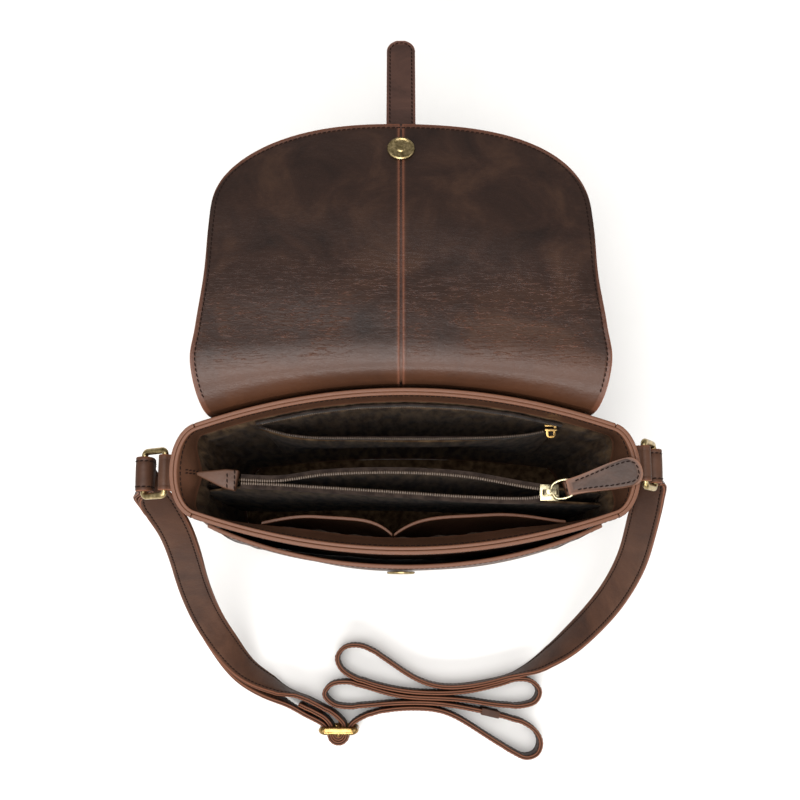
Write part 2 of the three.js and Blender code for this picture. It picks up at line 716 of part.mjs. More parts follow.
const LOWER_LAYER = [[-61.5, -157.9], [-72.6, -152.6], [-85.3, -146]];
const UPPER_LAYER = [[-82, -138.6], [-72.6, -141.9], [-63, -145.6], [-53.5, -150.7], [-46.6, -155.9]];
const SEWN_TAIL = [[-56.5, -155.9], [-66.5, -150.3], [-76, -146]];

function strapAdjusting() {
  const outerTurn = sliderTurn(6.6, -10.5, 9).reverse();
  const innerTurn = sliderTurn(3.45, -5.7, 4).reverse();
  return strapAlong([
    ...onEdge([[SPLICE[0] + GAP, SPLICE[1] - GAP * 0.2], AFTER_SPLICE], SPLICE_HEIGHT),
    ...onEdge(LOWER_LOOP, ON_EDGE),
    ...outerTurn,
    ...onEdge(LOWER_LAYER, SLIDER_EDGE),
    ...leftLayer(1),
    ...ringLead(ringFrames.left, 1),
    ...ringTurn(ringFrames.left).reverse(),
    ...ringLead(ringFrames.left, -1),
    ...leftLayer(-1).reverse(),
    ...onEdge(UPPER_LAYER, SLIDER_EDGE),
    ...innerTurn,
    ...onEdge(SEWN_TAIL, SLIDER_EDGE),
  ]);
}

// A short leather sleeve round the place where the strap's two lengths meet.
function strapSplice() {
  const wall = 0.7;
  const length = 13;
  const inner = [STRAP_THICKNESS / 2 + GAP, STRAP_WIDTH / 2 + GAP];
  const rectangle = (across, tall) => [[-across, -tall], [across, -tall], [across, tall], [-across, tall]]
    .map(([x, y]) => new THREE.Vector2(x, y));
  const shape = new THREE.Shape(rectangle(inner[0] + wall, inner[1] + wall));
  shape.holes.push(new THREE.Path(rectangle(inner[0], inner[1])));
  const sleeve = new THREE.ExtrudeGeometry(shape, { depth: length, bevelEnabled: false });
  sleeve.translate(0, 0, -length / 2);
  return sleeve;
}

// The leather tab that holds a ring: two layers flat on the gusset, looped round the ring's bar.
function ringTab({ wall }) {
  const plate = 3.2;
  const loop = 3.9;
  const barOut = 6.5;
  const barUp = RING_TAB_HEIGHT - 8;
  const shape = new THREE.Shape();
  shape.moveTo(0, 0);
  shape.lineTo(plate, 0);
  shape.lineTo(plate, barUp - 9);
  shape.lineTo(barOut - 1, barUp - loop);
  shape.absarc(barOut, barUp, loop, -Math.PI / 2, Math.PI / 2 + 0.4, false);
  shape.lineTo(1.4, barUp + 7);
  shape.lineTo(0, barUp + 7);
  const hole = new THREE.Path();
  hole.absarc(barOut, barUp, RING_WIRE / 2 + GAP, 0, Math.PI * 2, true);
  shape.holes.push(hole);
  const tab = new THREE.ExtrudeGeometry(shape, { depth: STRAP_WIDTH + 0.6, bevelEnabled: false, curveSegments: 8 });
  tab.translate(0, 0, -(STRAP_WIDTH + 0.6) / 2);
  tab.rotateX(Math.PI / 2);
  tab.translate(wall + GAP, 0, BODY_HEIGHT - RING_BAR_BELOW_RIM - barUp);
  return tab;
}

// A ring of round wire, a rectangle with round corners in the plane of its bar and its reach.
function strapRing({ bar, out }) {
  const half = STRAP_WIDTH / 2 + 1 + RING_WIRE / 2;
  const corner = 2.6;
  const outline = [];
  const corners = [[half, 0, 0], [half, RING_REACH, 1], [-half, RING_REACH, 2], [-half, 0, 3]];
  for (const [y, reach, quarter] of corners) {
    const centreY = y - Math.sign(y) * corner;
    const centreOut = reach === 0 ? corner : reach - corner;
    for (let k = 0; k <= 2; k += 1) {
      const angle = -Math.PI / 2 + (quarter + k / 2) * (Math.PI / 2);
      outline.push([centreY + Math.cos(angle) * corner, centreOut + Math.sin(angle) * corner]);
    }
    if (quarter === 1 || quarter === 3) {
      outline.push([0, reach]);
    }
  }
  const points = outline.map(([y, reach]) => {
    const place = bar.clone().addScaledVector(out, reach);
    place.y += y;
    return place;
  });
  return closedWire(points, RING_WIRE, 6, 2);
}

// The slider: an upright frame with a centre bar, soldered into one solid.
function strapSlider() {
  const inside = STRAP_WIDTH + GAP * 3;
  const half = SLIDER_LENGTH / 2 - SLIDER_BAR / 2;
  const tall = inside + SLIDER_BAR;
  const upright = (x, diameter) => {
    const post = new THREE.CylinderGeometry(diameter / 2, diameter / 2, tall, 12);
    post.rotateX(Math.PI / 2);
    post.translate(x, 0, SLIDER_BAR / 2 + tall / 2);
    return toSolid(post);
  };
  const rail = (height) => toSolid(
    new THREE.BoxGeometry(SLIDER_LENGTH, SLIDER_BAR * 1.5, SLIDER_BAR).translate(0, 0, height),
  );
  const frame = [upright(-half, SLIDER_BAR), upright(half, SLIDER_BAR), upright(0, 3.6)]
    .reduce((body, post) => body.add(post), rail(SLIDER_BAR / 2).add(rail(SLIDER_BAR / 2 + tall)));
  return toGeometry(frame);
}

// How far a pocket's mouth stands off the wall: it gapes, and its edge is pulled straight across the wall's bow.
function mouthStand({ from, to, top, gape, straightness, fullness }, share) {
  const across = Math.abs(((share - from) / (to - from)) * 2 - 1);
  const depthAt = (place) => Math.abs(outlineAt(place, top).y);
  const bow = depthAt(share) - Math.min(depthAt(from), depthAt(to));
  return (gape + straightness * bow) * (1 - across ** fullness);
}

const onLining = liningInset + LINING + GAP * 2.5;

// A pocket of leather on the inside of the front or back wall, standing off between its sewn sides.
function innerPocket(pocket) {
  const { from, to, top, depth, thickness, columns } = pocket;
  const heights = [0, 0.2, 0.45, 0.7, 0.9, 1].map((share) => mix(top - depth, top, share));
  return bodyWall({
    start: from,
    span: to - from,
    heights,
    inset: (share, height) => {
      const stand = mouthStand(pocket, share) * smooth(0, 0.85, (height - top + depth) / depth);
      return onLining + looseness(share, height) + stand;
    },
    thickness,
    columns,
  });
}

// The outline share where the body's wall has a given x, on the front or back panel.
function panelShare(start, x, height) {
  const across = x / bodySizes(height).seamX;
  const turned = start === FRONT_START ? -across : across;
  return start + (PANEL_SPAN * (1 - turned)) / 2;
}

function frontPocket() {
  const from = FRONT_START + PANEL_SPAN * 0.03;
  const span = PANEL_SPAN * 0.94;
  const top = BODY_HEIGHT - POCKET_BELOW_RIM;
  return bodyWall({
    start: from,
    span,
    heights: heightRows(POCKET_BOTTOM, top),
    inset: (share, height) => {
      const across = Math.abs(((share - from) / span) * 2 - 1);
      const full = (1 - across ** 2.6) * smooth(-0.35, 0.9, (height - POCKET_BOTTOM) / (top - POCKET_BOTTOM));
      return -(GAP + LEATHER + POCKET_GAPE * full);
    },
    thickness: LEATHER,
    columns: PANEL_COLUMNS,
  });
}

// A short zip let into the back wall: its lower tape on the pocket's edge, its upper tape on the lining.
function wallTape(from, to, height, inset, width) {
  const steps = 12;
  const stations = [];
  for (let i = 0; i <= steps; i += 1) {
    const share = mix(from, to, i / steps);
    stations.push({
      place: wallPoint(share, height, inset(share)),
      wide: new THREE.Vector3(0, 0, 1),
      width,
      thickness: TAPE_THICKNESS,
    });
  }
  return ribbon(stations);
}

// A zip's slider: two plates with a slot for the tapes between them, and a bridge for the pull.
function zipSlider(length, width) {
  const plate = 1.1;
  const slot = TAPE_THICKNESS + GAP * 2;
  const box = (x, y, z, dx, dy, dz) => toSolid(new THREE.BoxGeometry(dx, dy, dz).translate(x, y, z));
  const lower = box(0, 0, -slot / 2 - plate / 2, length, width, plate);
  const upper = box(0, 0, slot / 2 + plate / 2, length, width, plate);
  const post = box(length * 0.4, 0, 0, length * 0.2, width * 0.4, slot + plate);
  const side = slot / 2 + plate;
  const bridge = new THREE.Shape();
  bridge.moveTo(-length * 0.38, -0.3);
  bridge.lineTo(-length * 0.38, 2.2);
  bridge.quadraticCurveTo(-length * 0.3, 4, 0, 4);
  bridge.quadraticCurveTo(length * 0.36, 4, length * 0.4, 2);
  bridge.lineTo(length * 0.4, -0.3);
  const eye = new THREE.Path();
  eye.moveTo(-length * 0.2, 0.2);
  eye.lineTo(length * 0.24, 0.2);
  eye.lineTo(length * 0.2, 2.9);
  eye.lineTo(-length * 0.2, 2.9);
  bridge.holes.push(eye);
  const arch = new THREE.ExtrudeGeometry(bridge, { depth: width * 0.32, bevelEnabled: false, curveSegments: 5 });
  arch.translate(0, 0, -width * 0.16);
  arch.rotateX(Math.PI / 2);
  arch.translate(0, 0, side);
  return toGeometry(lower.add(post).add(upper).add(toSolid(arch)));
}

// The main zip's pull lies from its slider over the right end of the rim.
const pullFrom = new THREE.Vector3(81.9, -11.6, zipHeight + 4.2);
const pullTo = new THREE.Vector3(131, 0.4, BODY_HEIGHT + 3.6);
const pullAlong = pullTo.clone().sub(pullFrom).normalize();
const pullWide = new THREE.Vector3(0, 1, 0).addScaledVector(pullAlong, -pullAlong.y).normalize();
const WIRE_LENGTH = 12;
const WIRE_DIAMETER = 1.7;

function wireLoop() {
  const outline = [[0, 0], [1.6, 3.6], [5, 5], [WIRE_LENGTH - 1.5, 4.6], [WIRE_LENGTH, 3.2]];
  const mirrored = outline.slice(1).reverse().map(([along, wide]) => [along, -wide]);
  return [...outline, ...mirrored].map(([along, wide]) => pullFrom.clone()
    .addScaledVector(pullAlong, along)
    .addScaledVector(pullWide, wide));
}

function pullTab() {
  const near = WIRE_LENGTH - 2.4;
  const far = pullFrom.distanceTo(pullTo);
  const up = pullWide.clone().cross(pullAlong).multiplyScalar(-1);
  const point = (u, v, offset) => {
    const across = Math.sin(mix(-1, 1, u) * (Math.PI / 2));
    const end = far - cornerCut(across, PULL_END_WIDTH / 2, 2.2);
    const along = mix(near, end, v);
    const half = mix(PULL_ROOT_WIDTH, PULL_END_WIDTH, smooth(near, far - PULL_END_WIDTH / 2, along)) / 2;
    return pullFrom.clone()
      .addScaledVector(pullAlong, along)
      .addScaledVector(pullWide, across * half)
      .addScaledVector(up, offset);
  };
  const tab = wallBetween(
    (u, v) => point(u, v, PULL_THICKNESS / 2),
    (u, v) => point(u, v, -PULL_THICKNESS / 2),
    8,
    8,
  );
  const channel = closedWire(wireLoop(), WIRE_DIAMETER + GAP * 2, 6, 2);
  return toGeometry(toSolid(tab).subtract(toSolid(channel)));
}

// Materials, one for each mesh, from a few finishes.
const FINISHES = {
  leather: { color: '#5e4234', roughness: 0.55, metalness: 0 },
  darkLeather: { color: '#3f312d', roughness: 0.5, metalness: 0 },
  lining: { color: '#3e352b', roughness: 0.95, metalness: 0 },
  tape: { color: '#2e2520', roughness: 0.9, metalness: 0 },
  antiqueBrass: { color: '#9a8d5c', roughness: 0.35, metalness: 1 },
  brightBrass: { color: '#d0b06c', roughness: 0.3, metalness: 1 },
};

const bag = new THREE.Group();

function addPiece(name, geometry, finish, parent = bag) {
  const mesh = new THREE.Mesh(geometry, new THREE.MeshStandardMaterial(FINISHES[finish]));
  mesh.name = name;
  parent.add(mesh);
  return mesh;
}

function addBody() {
  addPiece('back_panel', outerWall(BACK_START, PANEL_SPAN, PANEL_COLUMNS), 'leather');
  addPiece('gusset_left', outerWall(LEFT_START, GUSSET_SPAN, GUSSET_COLUMNS), 'leather');
  addPiece('front_panel', outerWall(FRONT_START, PANEL_SPAN, PANEL_COLUMNS), 'leather');
  addPiece('gusset_right', outerWall(RIGHT_START, GUSSET_SPAN, GUSSET_COLUMNS), 'leather');
  addPiece('base_panel', floorPlate(0, BASE_THICKNESS, LEATHER + GAP), 'leather');
  const facingBottom = BODY_HEIGHT - FACING_HEIGHT;
  addPiece('facing', bodyWall({
    heights: [facingBottom, facingBottom + FACING_HEIGHT * 0.5, BODY_HEIGHT],
    inset: (share, height) => liningInset + looseness(share, height),
    thickness: FACING,
    columns: roundShares.length,
    wraps: true,
  }), 'leather');
  const liningBottom = BASE_THICKNESS + GAP + LINING + GAP;
  const between = heightRows(0, BODY_HEIGHT).filter((height) => height > liningBottom + 1 && height < facingBottom);
  addPiece('lining_base', floorPlate(BASE_THICKNESS + GAP, LINING, liningInset), 'lining');
  addPiece('lining_wall', bodyWall({
    heights: [liningBottom, ...between, facingBottom - GAP],
    inset: (share, height) => liningInset + looseness(share, height),
    thickness: LINING,
    columns: roundShares.length,
    wraps: true,
  }), 'lining');
}

function addOutsidePocket() {
  addPiece('front_pocket', frontPocket(), 'leather');
  const height = BODY_HEIGHT - SNAP_SOCKET_BELOW_RIM;
  const share = panelShare(FRONT_START, FLAP_SHIFT, height);
  const full = smooth(-0.35, 0.9, (height - POCKET_BOTTOM) / (BODY_HEIGHT - POCKET_BELOW_RIM - POCKET_BOTTOM));
  const socket = addPiece('snap_socket', snapDisc(SNAP_DIAMETER), 'antiqueBrass');
  socket.position.copy(wallPoint(share, height, -(GAP * 2 + LEATHER + POCKET_GAPE * full + 0.35)));
  socket.rotation.set(Math.PI, 0, 0);
}

function addFlap() {
  const half = GAP / 2;
  const seam = 0.005;
  addPiece('flap', flapLayer(-1, 1, -half - FLAP_OUTER, -half), 'leather');
  addPiece('flap_facing_left', flapLayer(-1, -seam, half, half + FLAP_FACING), 'darkLeather');
  addPiece('flap_facing_right', flapLayer(seam, 1, half, half + FLAP_FACING), 'darkLeather');
  addPiece('closing_tab', closingTab(), 'leather');
  const { place, lined } = flapProfile(flapLength - SNAP_FROM_EDGE);
  const disc = addPiece('snap_disc', snapDisc(SNAP_DIAMETER), 'antiqueBrass');
  disc.position.copy(place).addScaledVector(lined, half + FLAP_FACING + GAP);
  disc.position.x = FLAP_SHIFT;
  disc.quaternion.setFromUnitVectors(new THREE.Vector3(0, 1, 0), lined);
}

function addZipCompartment() {
  addPiece('divider_back', dividerWall('back'), 'lining');
  addPiece('divider_front', dividerWall('front'), 'lining');
  addPiece('zip_tape_back', zipTape('back'), 'tape');
  addPiece('zip_tape_front', zipTape('front'), 'tape');
  const leftX = zipLine(-1, 'back').x;
  const leftTop = zipHeight + 5;
  const rightTop = zipHeight + 2.6;
  const leftGusset = gussetFace(LEFT_START, -1, leftTop - ZIP_END_HEIGHT) + GAP * 3;
  const rightGusset = gussetFace(RIGHT_START, -1, rightTop - ZIP_END_HEIGHT) - GAP * 0.2;
  addPiece('zip_end_left', zipEnd(leftGusset, -1, leftX - GAP, -5.1, 12, leftTop), 'leather');
  const rightX = zipLine(0.97, 'back').x;
  addPiece('zip_end_right', zipEnd(rightGusset, -1, rightX + 7, -10, 10, rightTop), 'leather');
  const slider = addPiece('zip_slider', zipSlider(ZIP_SLIDER_LENGTH, ZIP_SLIDER_WIDTH), 'antiqueBrass');
  slider.position.set(rightX - 2, -11.6, zipHeight + GAP + TAPE_THICKNESS / 2);
  addPiece('pull_wire', closedWire(wireLoop(), WIRE_DIAMETER, 6, 2), 'antiqueBrass');
  addPiece('pull_tab', pullTab(), 'leather');
}

function addInnerPockets() {
  const slipTop = BODY_HEIGHT - SLIP_BELOW_RIM;
  const slipAt = (x) => panelShare(FRONT_START, x, slipTop);
  const slip = {
    top: slipTop,
    depth: SLIP_DEPTH,
    gape: SLIP_GAPE,
    straightness: SLIP_STRAIGHTNESS,
    fullness: 4,
    thickness: SLIP_WALL,
    columns: 8,
  };
  addPiece('slip_pocket_left', innerPocket({ ...slip, from: slipAt(SLIP_LEFT_SIDE), to: slipAt(SLIP_MEETING - SLIP_APART / 2) }), 'leather');
  addPiece('slip_pocket_right', innerPocket({ ...slip, from: slipAt(SLIP_MEETING + SLIP_APART / 2), to: slipAt(SLIP_RIGHT_SIDE) }), 'leather');
  const backTop = BODY_HEIGHT - BACK_POCKET_BELOW_RIM;
  const from = panelShare(BACK_START, BACK_POCKET_RIGHT, backTop);
  const to = panelShare(BACK_START, BACK_POCKET_LEFT, backTop);
  const pocket = {
    from,
    to,
    top: backTop,
    depth: BACK_POCKET_DEPTH,
    gape: BACK_POCKET_GAPE,
    straightness: 1,
    fullness: 8,
    thickness: SLIP_WALL,
    columns: 12,
  };
  addPiece('back_pocket', innerPocket(pocket), 'lining');
  const onEdgeOf = (share) => onLining + mouthStand(pocket, share) + SLIP_WALL / 2;
  const onWall = () => onLining + TAPE_THICKNESS / 2;
  const lowerMiddle = backTop + GAP + BACK_TAPE_WIDTH / 2;
  const upperMiddle = lowerMiddle + BACK_TAPE_WIDTH + BACK_ZIP_OPEN - GAP;
  addPiece('back_zip_lower', wallTape(from, to, lowerMiddle, onEdgeOf, BACK_TAPE_WIDTH), 'tape');
  addPiece('back_zip_upper', wallTape(from, to, upperMiddle, onWall, BACK_TAPE_WIDTH), 'tape');
  const backSlider = addPiece('back_zip_slider', zipSlider(7, 5), 'brightBrass');
  const betweenTapes = (lowerMiddle + upperMiddle) / 2;
  backSlider.position.copy(wallPoint(mix(from, to, 0.03), betweenTapes, onLining + 2.6));
  backSlider.rotation.set(Math.PI / 2, 0, 0);
}

function addStrap() {
  for (const side of ['left', 'right']) {
    const frame = ringFrames[side];
    const tab = addPiece(`ring_tab_${side}`, ringTab(frame), 'leather');
    tab.position.y = frame.bar.y;
    tab.rotation.z = side === 'left' ? Math.PI : 0;
    addPiece(`ring_${side}`, strapRing(frame), 'antiqueBrass');
  }
  addPiece('strap_long', strapLong(), 'leather');
  addPiece('strap_adjusting', strapAdjusting(), 'leather');
  const splice = addPiece('strap_splice', strapSplice(), 'leather');
  splice.position.set(SPLICE[0], SPLICE[1], SPLICE_HEIGHT);
  splice.rotation.set(Math.PI / 2, Math.PI / 2 - 0.22, 0);
  const slider = addPiece('strap_slider', strapSlider(), 'brightBrass');
  slider.position.set(SLIDER_AT[0], SLIDER_AT[1], 0);
}

addBody();
addOutsidePocket();
addFlap();
addZipCompartment();
addInnerPockets();
addStrap();

export default bag;
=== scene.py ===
# %% [markdown]
# # A leather shoulder bag, standing open
#
# The bag is sewn from pull-up leather: two panels, two narrow gussets, a flap thrown back and a long
# strap that lies folded on its edge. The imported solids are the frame. Every soft piece is built again
# here from the same rules as its solid, but with a fine enough mesh to carry its stitches, ridges and
# waves, and every metal piece gets round edges.

# %% Load the frame
import math

import bmesh
import bpy
import numpy as np
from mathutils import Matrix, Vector
from mathutils.bvhtree import BVHTree


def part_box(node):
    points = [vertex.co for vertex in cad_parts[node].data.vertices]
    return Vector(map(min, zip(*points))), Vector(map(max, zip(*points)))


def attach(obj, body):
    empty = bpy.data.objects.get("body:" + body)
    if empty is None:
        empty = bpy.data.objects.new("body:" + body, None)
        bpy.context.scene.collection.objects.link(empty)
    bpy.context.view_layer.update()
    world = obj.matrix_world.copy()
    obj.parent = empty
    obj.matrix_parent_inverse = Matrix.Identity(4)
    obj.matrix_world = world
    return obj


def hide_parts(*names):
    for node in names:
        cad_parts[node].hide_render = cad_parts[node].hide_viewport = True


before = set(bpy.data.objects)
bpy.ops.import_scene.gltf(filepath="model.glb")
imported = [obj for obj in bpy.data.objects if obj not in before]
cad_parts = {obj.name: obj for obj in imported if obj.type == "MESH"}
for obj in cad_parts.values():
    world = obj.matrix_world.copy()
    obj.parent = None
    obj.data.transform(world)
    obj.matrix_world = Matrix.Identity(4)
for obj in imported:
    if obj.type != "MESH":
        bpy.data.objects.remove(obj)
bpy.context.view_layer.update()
MM = 0.001
print("frame nodes:", len(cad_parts))

# %% [markdown]
# The photograph looks down into the mouth from less than a metre above the board, a little from the
# front. A plain 50 mm lens at that place gives the same wide mouth and small strap, because the strap lies
# on the board, far below the rim. A camera could also be aimed with a constraint, but plain angles are
# easier to read and to check.

# %% Camera
CAMERA_PLACE = Vector((-2.777, -68.857, 849.377)) * MM
CAMERA_ELEVATION = 80
LENS = 50
SENSOR = 36

camera_data = bpy.data.cameras.new("camera")
camera_data.lens = LENS
camera_data.sensor_width = SENSOR
camera = bpy.data.objects.new("camera", camera_data)
camera.location = CAMERA_PLACE
camera.rotation_euler = (math.radians(90 - CAMERA_ELEVATION), 0, 0)
bpy.context.scene.collection.objects.link(camera)
bpy.context.scene.camera = camera
print("camera, mm above the board:", round(CAMERA_PLACE.z / MM))

# %% [markdown]
# A studio light for leather is large and soft, so that the oily surface shows broad bands and no hard
# spots. Boxes hang over the bag, and a long low strip stands in front: where the flap rolls over the rim
# its leather faces halfway between that strip and the camera, which draws the satin band along the roll.

# %% Lights and floor
FLOOR_SIZE = 12
FLOOR_DROP = 0.0005


def softbox(name, place, width, height, power):
    """A rectangular soft light that faces the bag."""
    data = bpy.data.lights.new(name, "AREA")
    data.shape = "RECTANGLE"
    data.size = width
    data.size_y = height
    data.energy = power
    lamp = bpy.data.objects.new(name, data)
    lamp.location = place
    lamp.rotation_euler = (Vector((0, 0, 0.15)) - Vector(place)).to_track_quat("-Z", "Y").to_euler()
    bpy.context.scene.collection.objects.link(lamp)


softbox("overhead", (-0.25, 0.0, 1.6), 1.1, 0.8, 18)
softbox("front_strip", (0, -1.35, 1.35), 1.8, 0.22, 26)
softbox("top", (0.1, -0.55, 1.9), 1.4, 0.9, 16)
softbox("left", (-1.3, -0.5, 1.1), 0.8, 0.8, 5)
softbox("right", (1.4, -0.2, 1.0), 0.8, 0.8, 5)

world = bpy.data.worlds.new("studio")
bpy.context.scene.world = world
world.use_nodes = True
world.node_tree.nodes["Background"].inputs["Color"].default_value = (1, 1, 1, 1)
world.node_tree.nodes["Background"].inputs["Strength"].default_value = 0.32
bpy.context.scene.view_settings.view_transform = "Standard"
print("lights:", len(bpy.data.lights))

# %% [markdown]
# Materials come first, because every piece needs one. Two small helpers do the wiring: one turns a hex
# colour, as read off the leather, into the linear values that the shader wants, and one adds a node with
# its settings and links in a single call.

# %% Helpers for materials


def linear(hex_colour):
    """The linear colour of an sRGB hex value such as 5e4335."""
    channels = [int(hex_colour[k:k + 2], 16) / 255 for k in (0, 2, 4)]
    return tuple(c / 12.92 if c <= 0.04045 else ((c + 0.055) / 1.055) ** 2.4 for c in channels) + (1,)


def add(tree, kind, settings=None, **inputs):
    """A new node; a keyword names an input, and gives it a number, a colour or a node's output."""
    node = tree.nodes.new(kind)
    for key, value in (settings or {}).items():
        setattr(node, key, value)
    for key, value in inputs.items():
        name = key.replace("_", " ")
        socket = next(s for s in node.inputs if s.name == name and s.enabled)
        if isinstance(value, bpy.types.NodeSocket):
            tree.links.new(value, socket)
        else:
            socket.default_value = value
    return node


def new_material(name):
    """An empty node material with its output node."""
    material = bpy.data.materials.new(name)
    material.use_nodes = True
    tree = material.node_tree
    tree.nodes.clear()
    return material, tree, tree.nodes.new("ShaderNodeOutputMaterial")


def per_metre(millimetres):
    """A texture's scale for a pattern that repeats about every so many millimetres."""
    return 1000 / millimetres


def ramp(tree, factor, stops):
    """Colours along a factor, from pairs of place and hex colour."""
    node = add(tree, "ShaderNodeValToRGB", Fac=factor)
    elements = node.color_ramp.elements
    for _ in stops[2:]:
        elements.new(0.5)
    for element, (place, colour) in zip(elements, stops):
        element.position = place
        element.color = linear(colour)
    return node.outputs["Color"]


def spread(tree, value, low, high, to_low=0.0, to_high=1.0):
    """A value moved from one range to another."""
    return add(
        tree,
        "ShaderNodeMapRange",
        Value=value,
        From_Min=low,
        From_Max=high,
        To_Min=to_low,
        To_Max=to_high,
    ).outputs["Result"]


# %% [markdown]
# Pull-up leather is vegetable-tanned hide soaked with oil and wax. Where it bends or rubs the wax moves
# away and the colour lightens, so broad clouds, pale folded edges and fine scuffs are what the eye reads
# as this leather. The grain itself is shallow: pores about a millimetre apart under a satin surface. A
# mesh attribute called wear, 1 on a cut or turned edge and 0 inside, drives the pale edges, because the
# meshes know where their edges are. Another, called bent, says where a sheet has been rolled, and there
# the wax has moved away and the leather is pale and full of fine creases across the roll.

# %% Pull-up leather
CLOUD_MM = 38
SCUFF_MM = 2.2
PORE_MM = 1.1
CREASE_MM = 9
ROLL_CREASE_MM = 16
ROLL_CREASE_SHAPE = (1, 9, 5)
GRAIN_SHAPE = (1, 2.4, 1.6)
GRAIN_TURN = (0.2, 0.4, 0.5)


def blend(tree, factor, first, second):
    """Two colours mixed; each is a hex colour or another node's output."""
    node = add(tree, "ShaderNodeMix", {"data_type": "RGBA"}, Factor=factor)
    for socket, colour in ((node.inputs[6], first), (node.inputs[7], second)):
        if isinstance(colour, str):
            socket.default_value = linear(colour)
        else:
            tree.links.new(colour, socket)
    return node.outputs[2]


def calculate(tree, operation, first, second):
    """One step of arithmetic on two values."""
    node = add(tree, "ShaderNodeMath", {"operation": operation})
    for socket, value in zip(node.inputs, (first, second)):
        if isinstance(value, bpy.types.NodeSocket):
            tree.links.new(value, socket)
        else:
            socket.default_value = value
    return node.outputs[0]


def pull_up_leather(name, dark, middle, light, edge, pulled, roughness=0.46, clouds=1.0, gloss=0.32):
    """Leather with clouds from dark to light, pale worn edges and a paler, creased roll."""
    material, tree, output = new_material(name)
    place = add(tree, "ShaderNodeTexCoord").outputs["Object"]
    cloud = add(
        tree, "ShaderNodeTexNoise", Vector=place, Scale=per_metre(CLOUD_MM), Detail=5.0, Roughness=0.62,
        Distortion=0.6,
    ).outputs["Fac"]
    half = 0.2 / clouds
    base = ramp(tree, spread(tree, cloud, 0.5 - half, 0.5 + half), [(0, dark), (0.5, middle), (1, light)])
    stretched = add(tree, "ShaderNodeMapping", Vector=place, Scale=GRAIN_SHAPE, Rotation=GRAIN_TURN)
    scuff = add(
        tree,
        "ShaderNodeTexNoise",
        Vector=stretched.outputs["Vector"],
        Scale=per_metre(SCUFF_MM),
        Detail=6.0,
        Roughness=0.75,
    ).outputs["Fac"]
    scuffed = blend(tree, spread(tree, scuff, 0.58, 0.8, 0, 0.35), base, light)

    bent = add(tree, "ShaderNodeAttribute", {"attribute_name": "bent"}).outputs["Fac"]
    bent_patches = calculate(tree, "MULTIPLY", bent, spread(tree, cloud, 0.3, 0.65, 0.6, 1))
    rolled = blend(tree, bent_patches, scuffed, pulled)
    across_roll = add(tree, "ShaderNodeMapping", Vector=place, Scale=ROLL_CREASE_SHAPE)
    roll_noise = add(
        tree, "ShaderNodeTexNoise", Vector=across_roll.outputs["Vector"], Scale=per_metre(ROLL_CREASE_MM),
        Detail=3.0, Roughness=0.55, Distortion=0.35,
    ).outputs["Fac"]
    off_line = calculate(tree, "ABSOLUTE", calculate(tree, "SUBTRACT", roll_noise, 0.5), 0)
    thin_line = spread(tree, off_line, 0.004, 0.028, 1, 0)
    creased = add(tree, "ShaderNodeAttribute", {"attribute_name": "creased"}).outputs["Fac"]
    patches = spread(tree, cloud, 0.42, 0.58, 0.15, 1)
    crease_line = calculate(tree, "MULTIPLY", thin_line, calculate(tree, "MULTIPLY", creased, patches))
    lined = blend(tree, calculate(tree, "MULTIPLY", crease_line, 0.4), rolled, edge)

    wear = add(tree, "ShaderNodeAttribute", {"attribute_name": "wear"}).outputs["Fac"]
    broken = calculate(tree, "MULTIPLY", wear, spread(tree, scuff, 0.2, 0.55, 0.5, 1))
    worn = blend(tree, broken, lined, edge)

    pores = add(
        tree, "ShaderNodeTexVoronoi", {"feature": "SMOOTH_F1"}, Vector=place, Scale=per_metre(PORE_MM),
    ).outputs["Distance"]
    creases = add(
        tree,
        "ShaderNodeTexNoise",
        Vector=stretched.outputs["Vector"],
        Scale=per_metre(CREASE_MM),
        Detail=8.0,
        Roughness=0.6,
    ).outputs["Fac"]
    pored = add(tree, "ShaderNodeBump", Height=pores, Strength=0.2, Distance=0.22 * MM)
    grained = add(
        tree,
        "ShaderNodeBump",
        Height=creases,
        Strength=0.35,
        Distance=0.7 * MM,
        Normal=pored.outputs["Normal"],
    )
    ridged = add(
        tree, "ShaderNodeBump", Height=crease_line, Strength=0.8, Distance=0.25 * MM,
        Normal=grained.outputs["Normal"],
    )
    shader = add(
        tree,
        "ShaderNodeBsdfPrincipled",
        Base_Color=worn,
        Roughness=spread(tree, scuff, 0.3, 0.75, roughness - 0.07, roughness + 0.14),
        Normal=ridged.outputs["Normal"],
        IOR=1.5,
        Specular_IOR_Level=gloss,
    )
    tree.links.new(shader.outputs[0], output.inputs[0])
    return material


BODY_LEATHER = pull_up_leather(
    "pull_up_leather_body", "3a261b", "472e20", "543627", "623f2d", "5c3c2c", clouds=0.8, gloss=0.24
)
FLAP_LEATHER = pull_up_leather("pull_up_leather_flap", "281a15", "3b2720", "4c3329", "644134", "5c3c2c")
FACING_LEATHER = pull_up_leather(
    "waxed_facing_leather", "1b110d", "271913", "37251b", "68402f", "432819", roughness=0.36, gloss=0.26
)
PULL_LEATHER = pull_up_leather(
    "worn_pull_leather", "2a1c16", "36261e", "4c362b", "6f4c3a", "5c3c2c", roughness=0.55
)
STRAP_LEATHER = pull_up_leather(
    "strap_leather", "301e16", "3f281c", "4c3224", "70442f", "5c3c2c", roughness=0.52, gloss=0.18
)

# %% [markdown]
# The lining is a napped, suede-like cloth. Its short fibres catch light at a glancing angle, so it has a
# little sheen and almost no gloss, and it puckers in fine upright creases where it hangs from the seam;
# the shade of those creases is also painted into its colour as upright stripes.
# Zip tape is woven nylon. Its ribs, half a millimetre apart, are too fine to see, so the weave is drawn as
# an even mottle of 0.9 mm.

# %% Napped lining, woven tape and thread
NAP_MM = 0.7
PUCKER_MM = 5
RIB_MM = 0.9


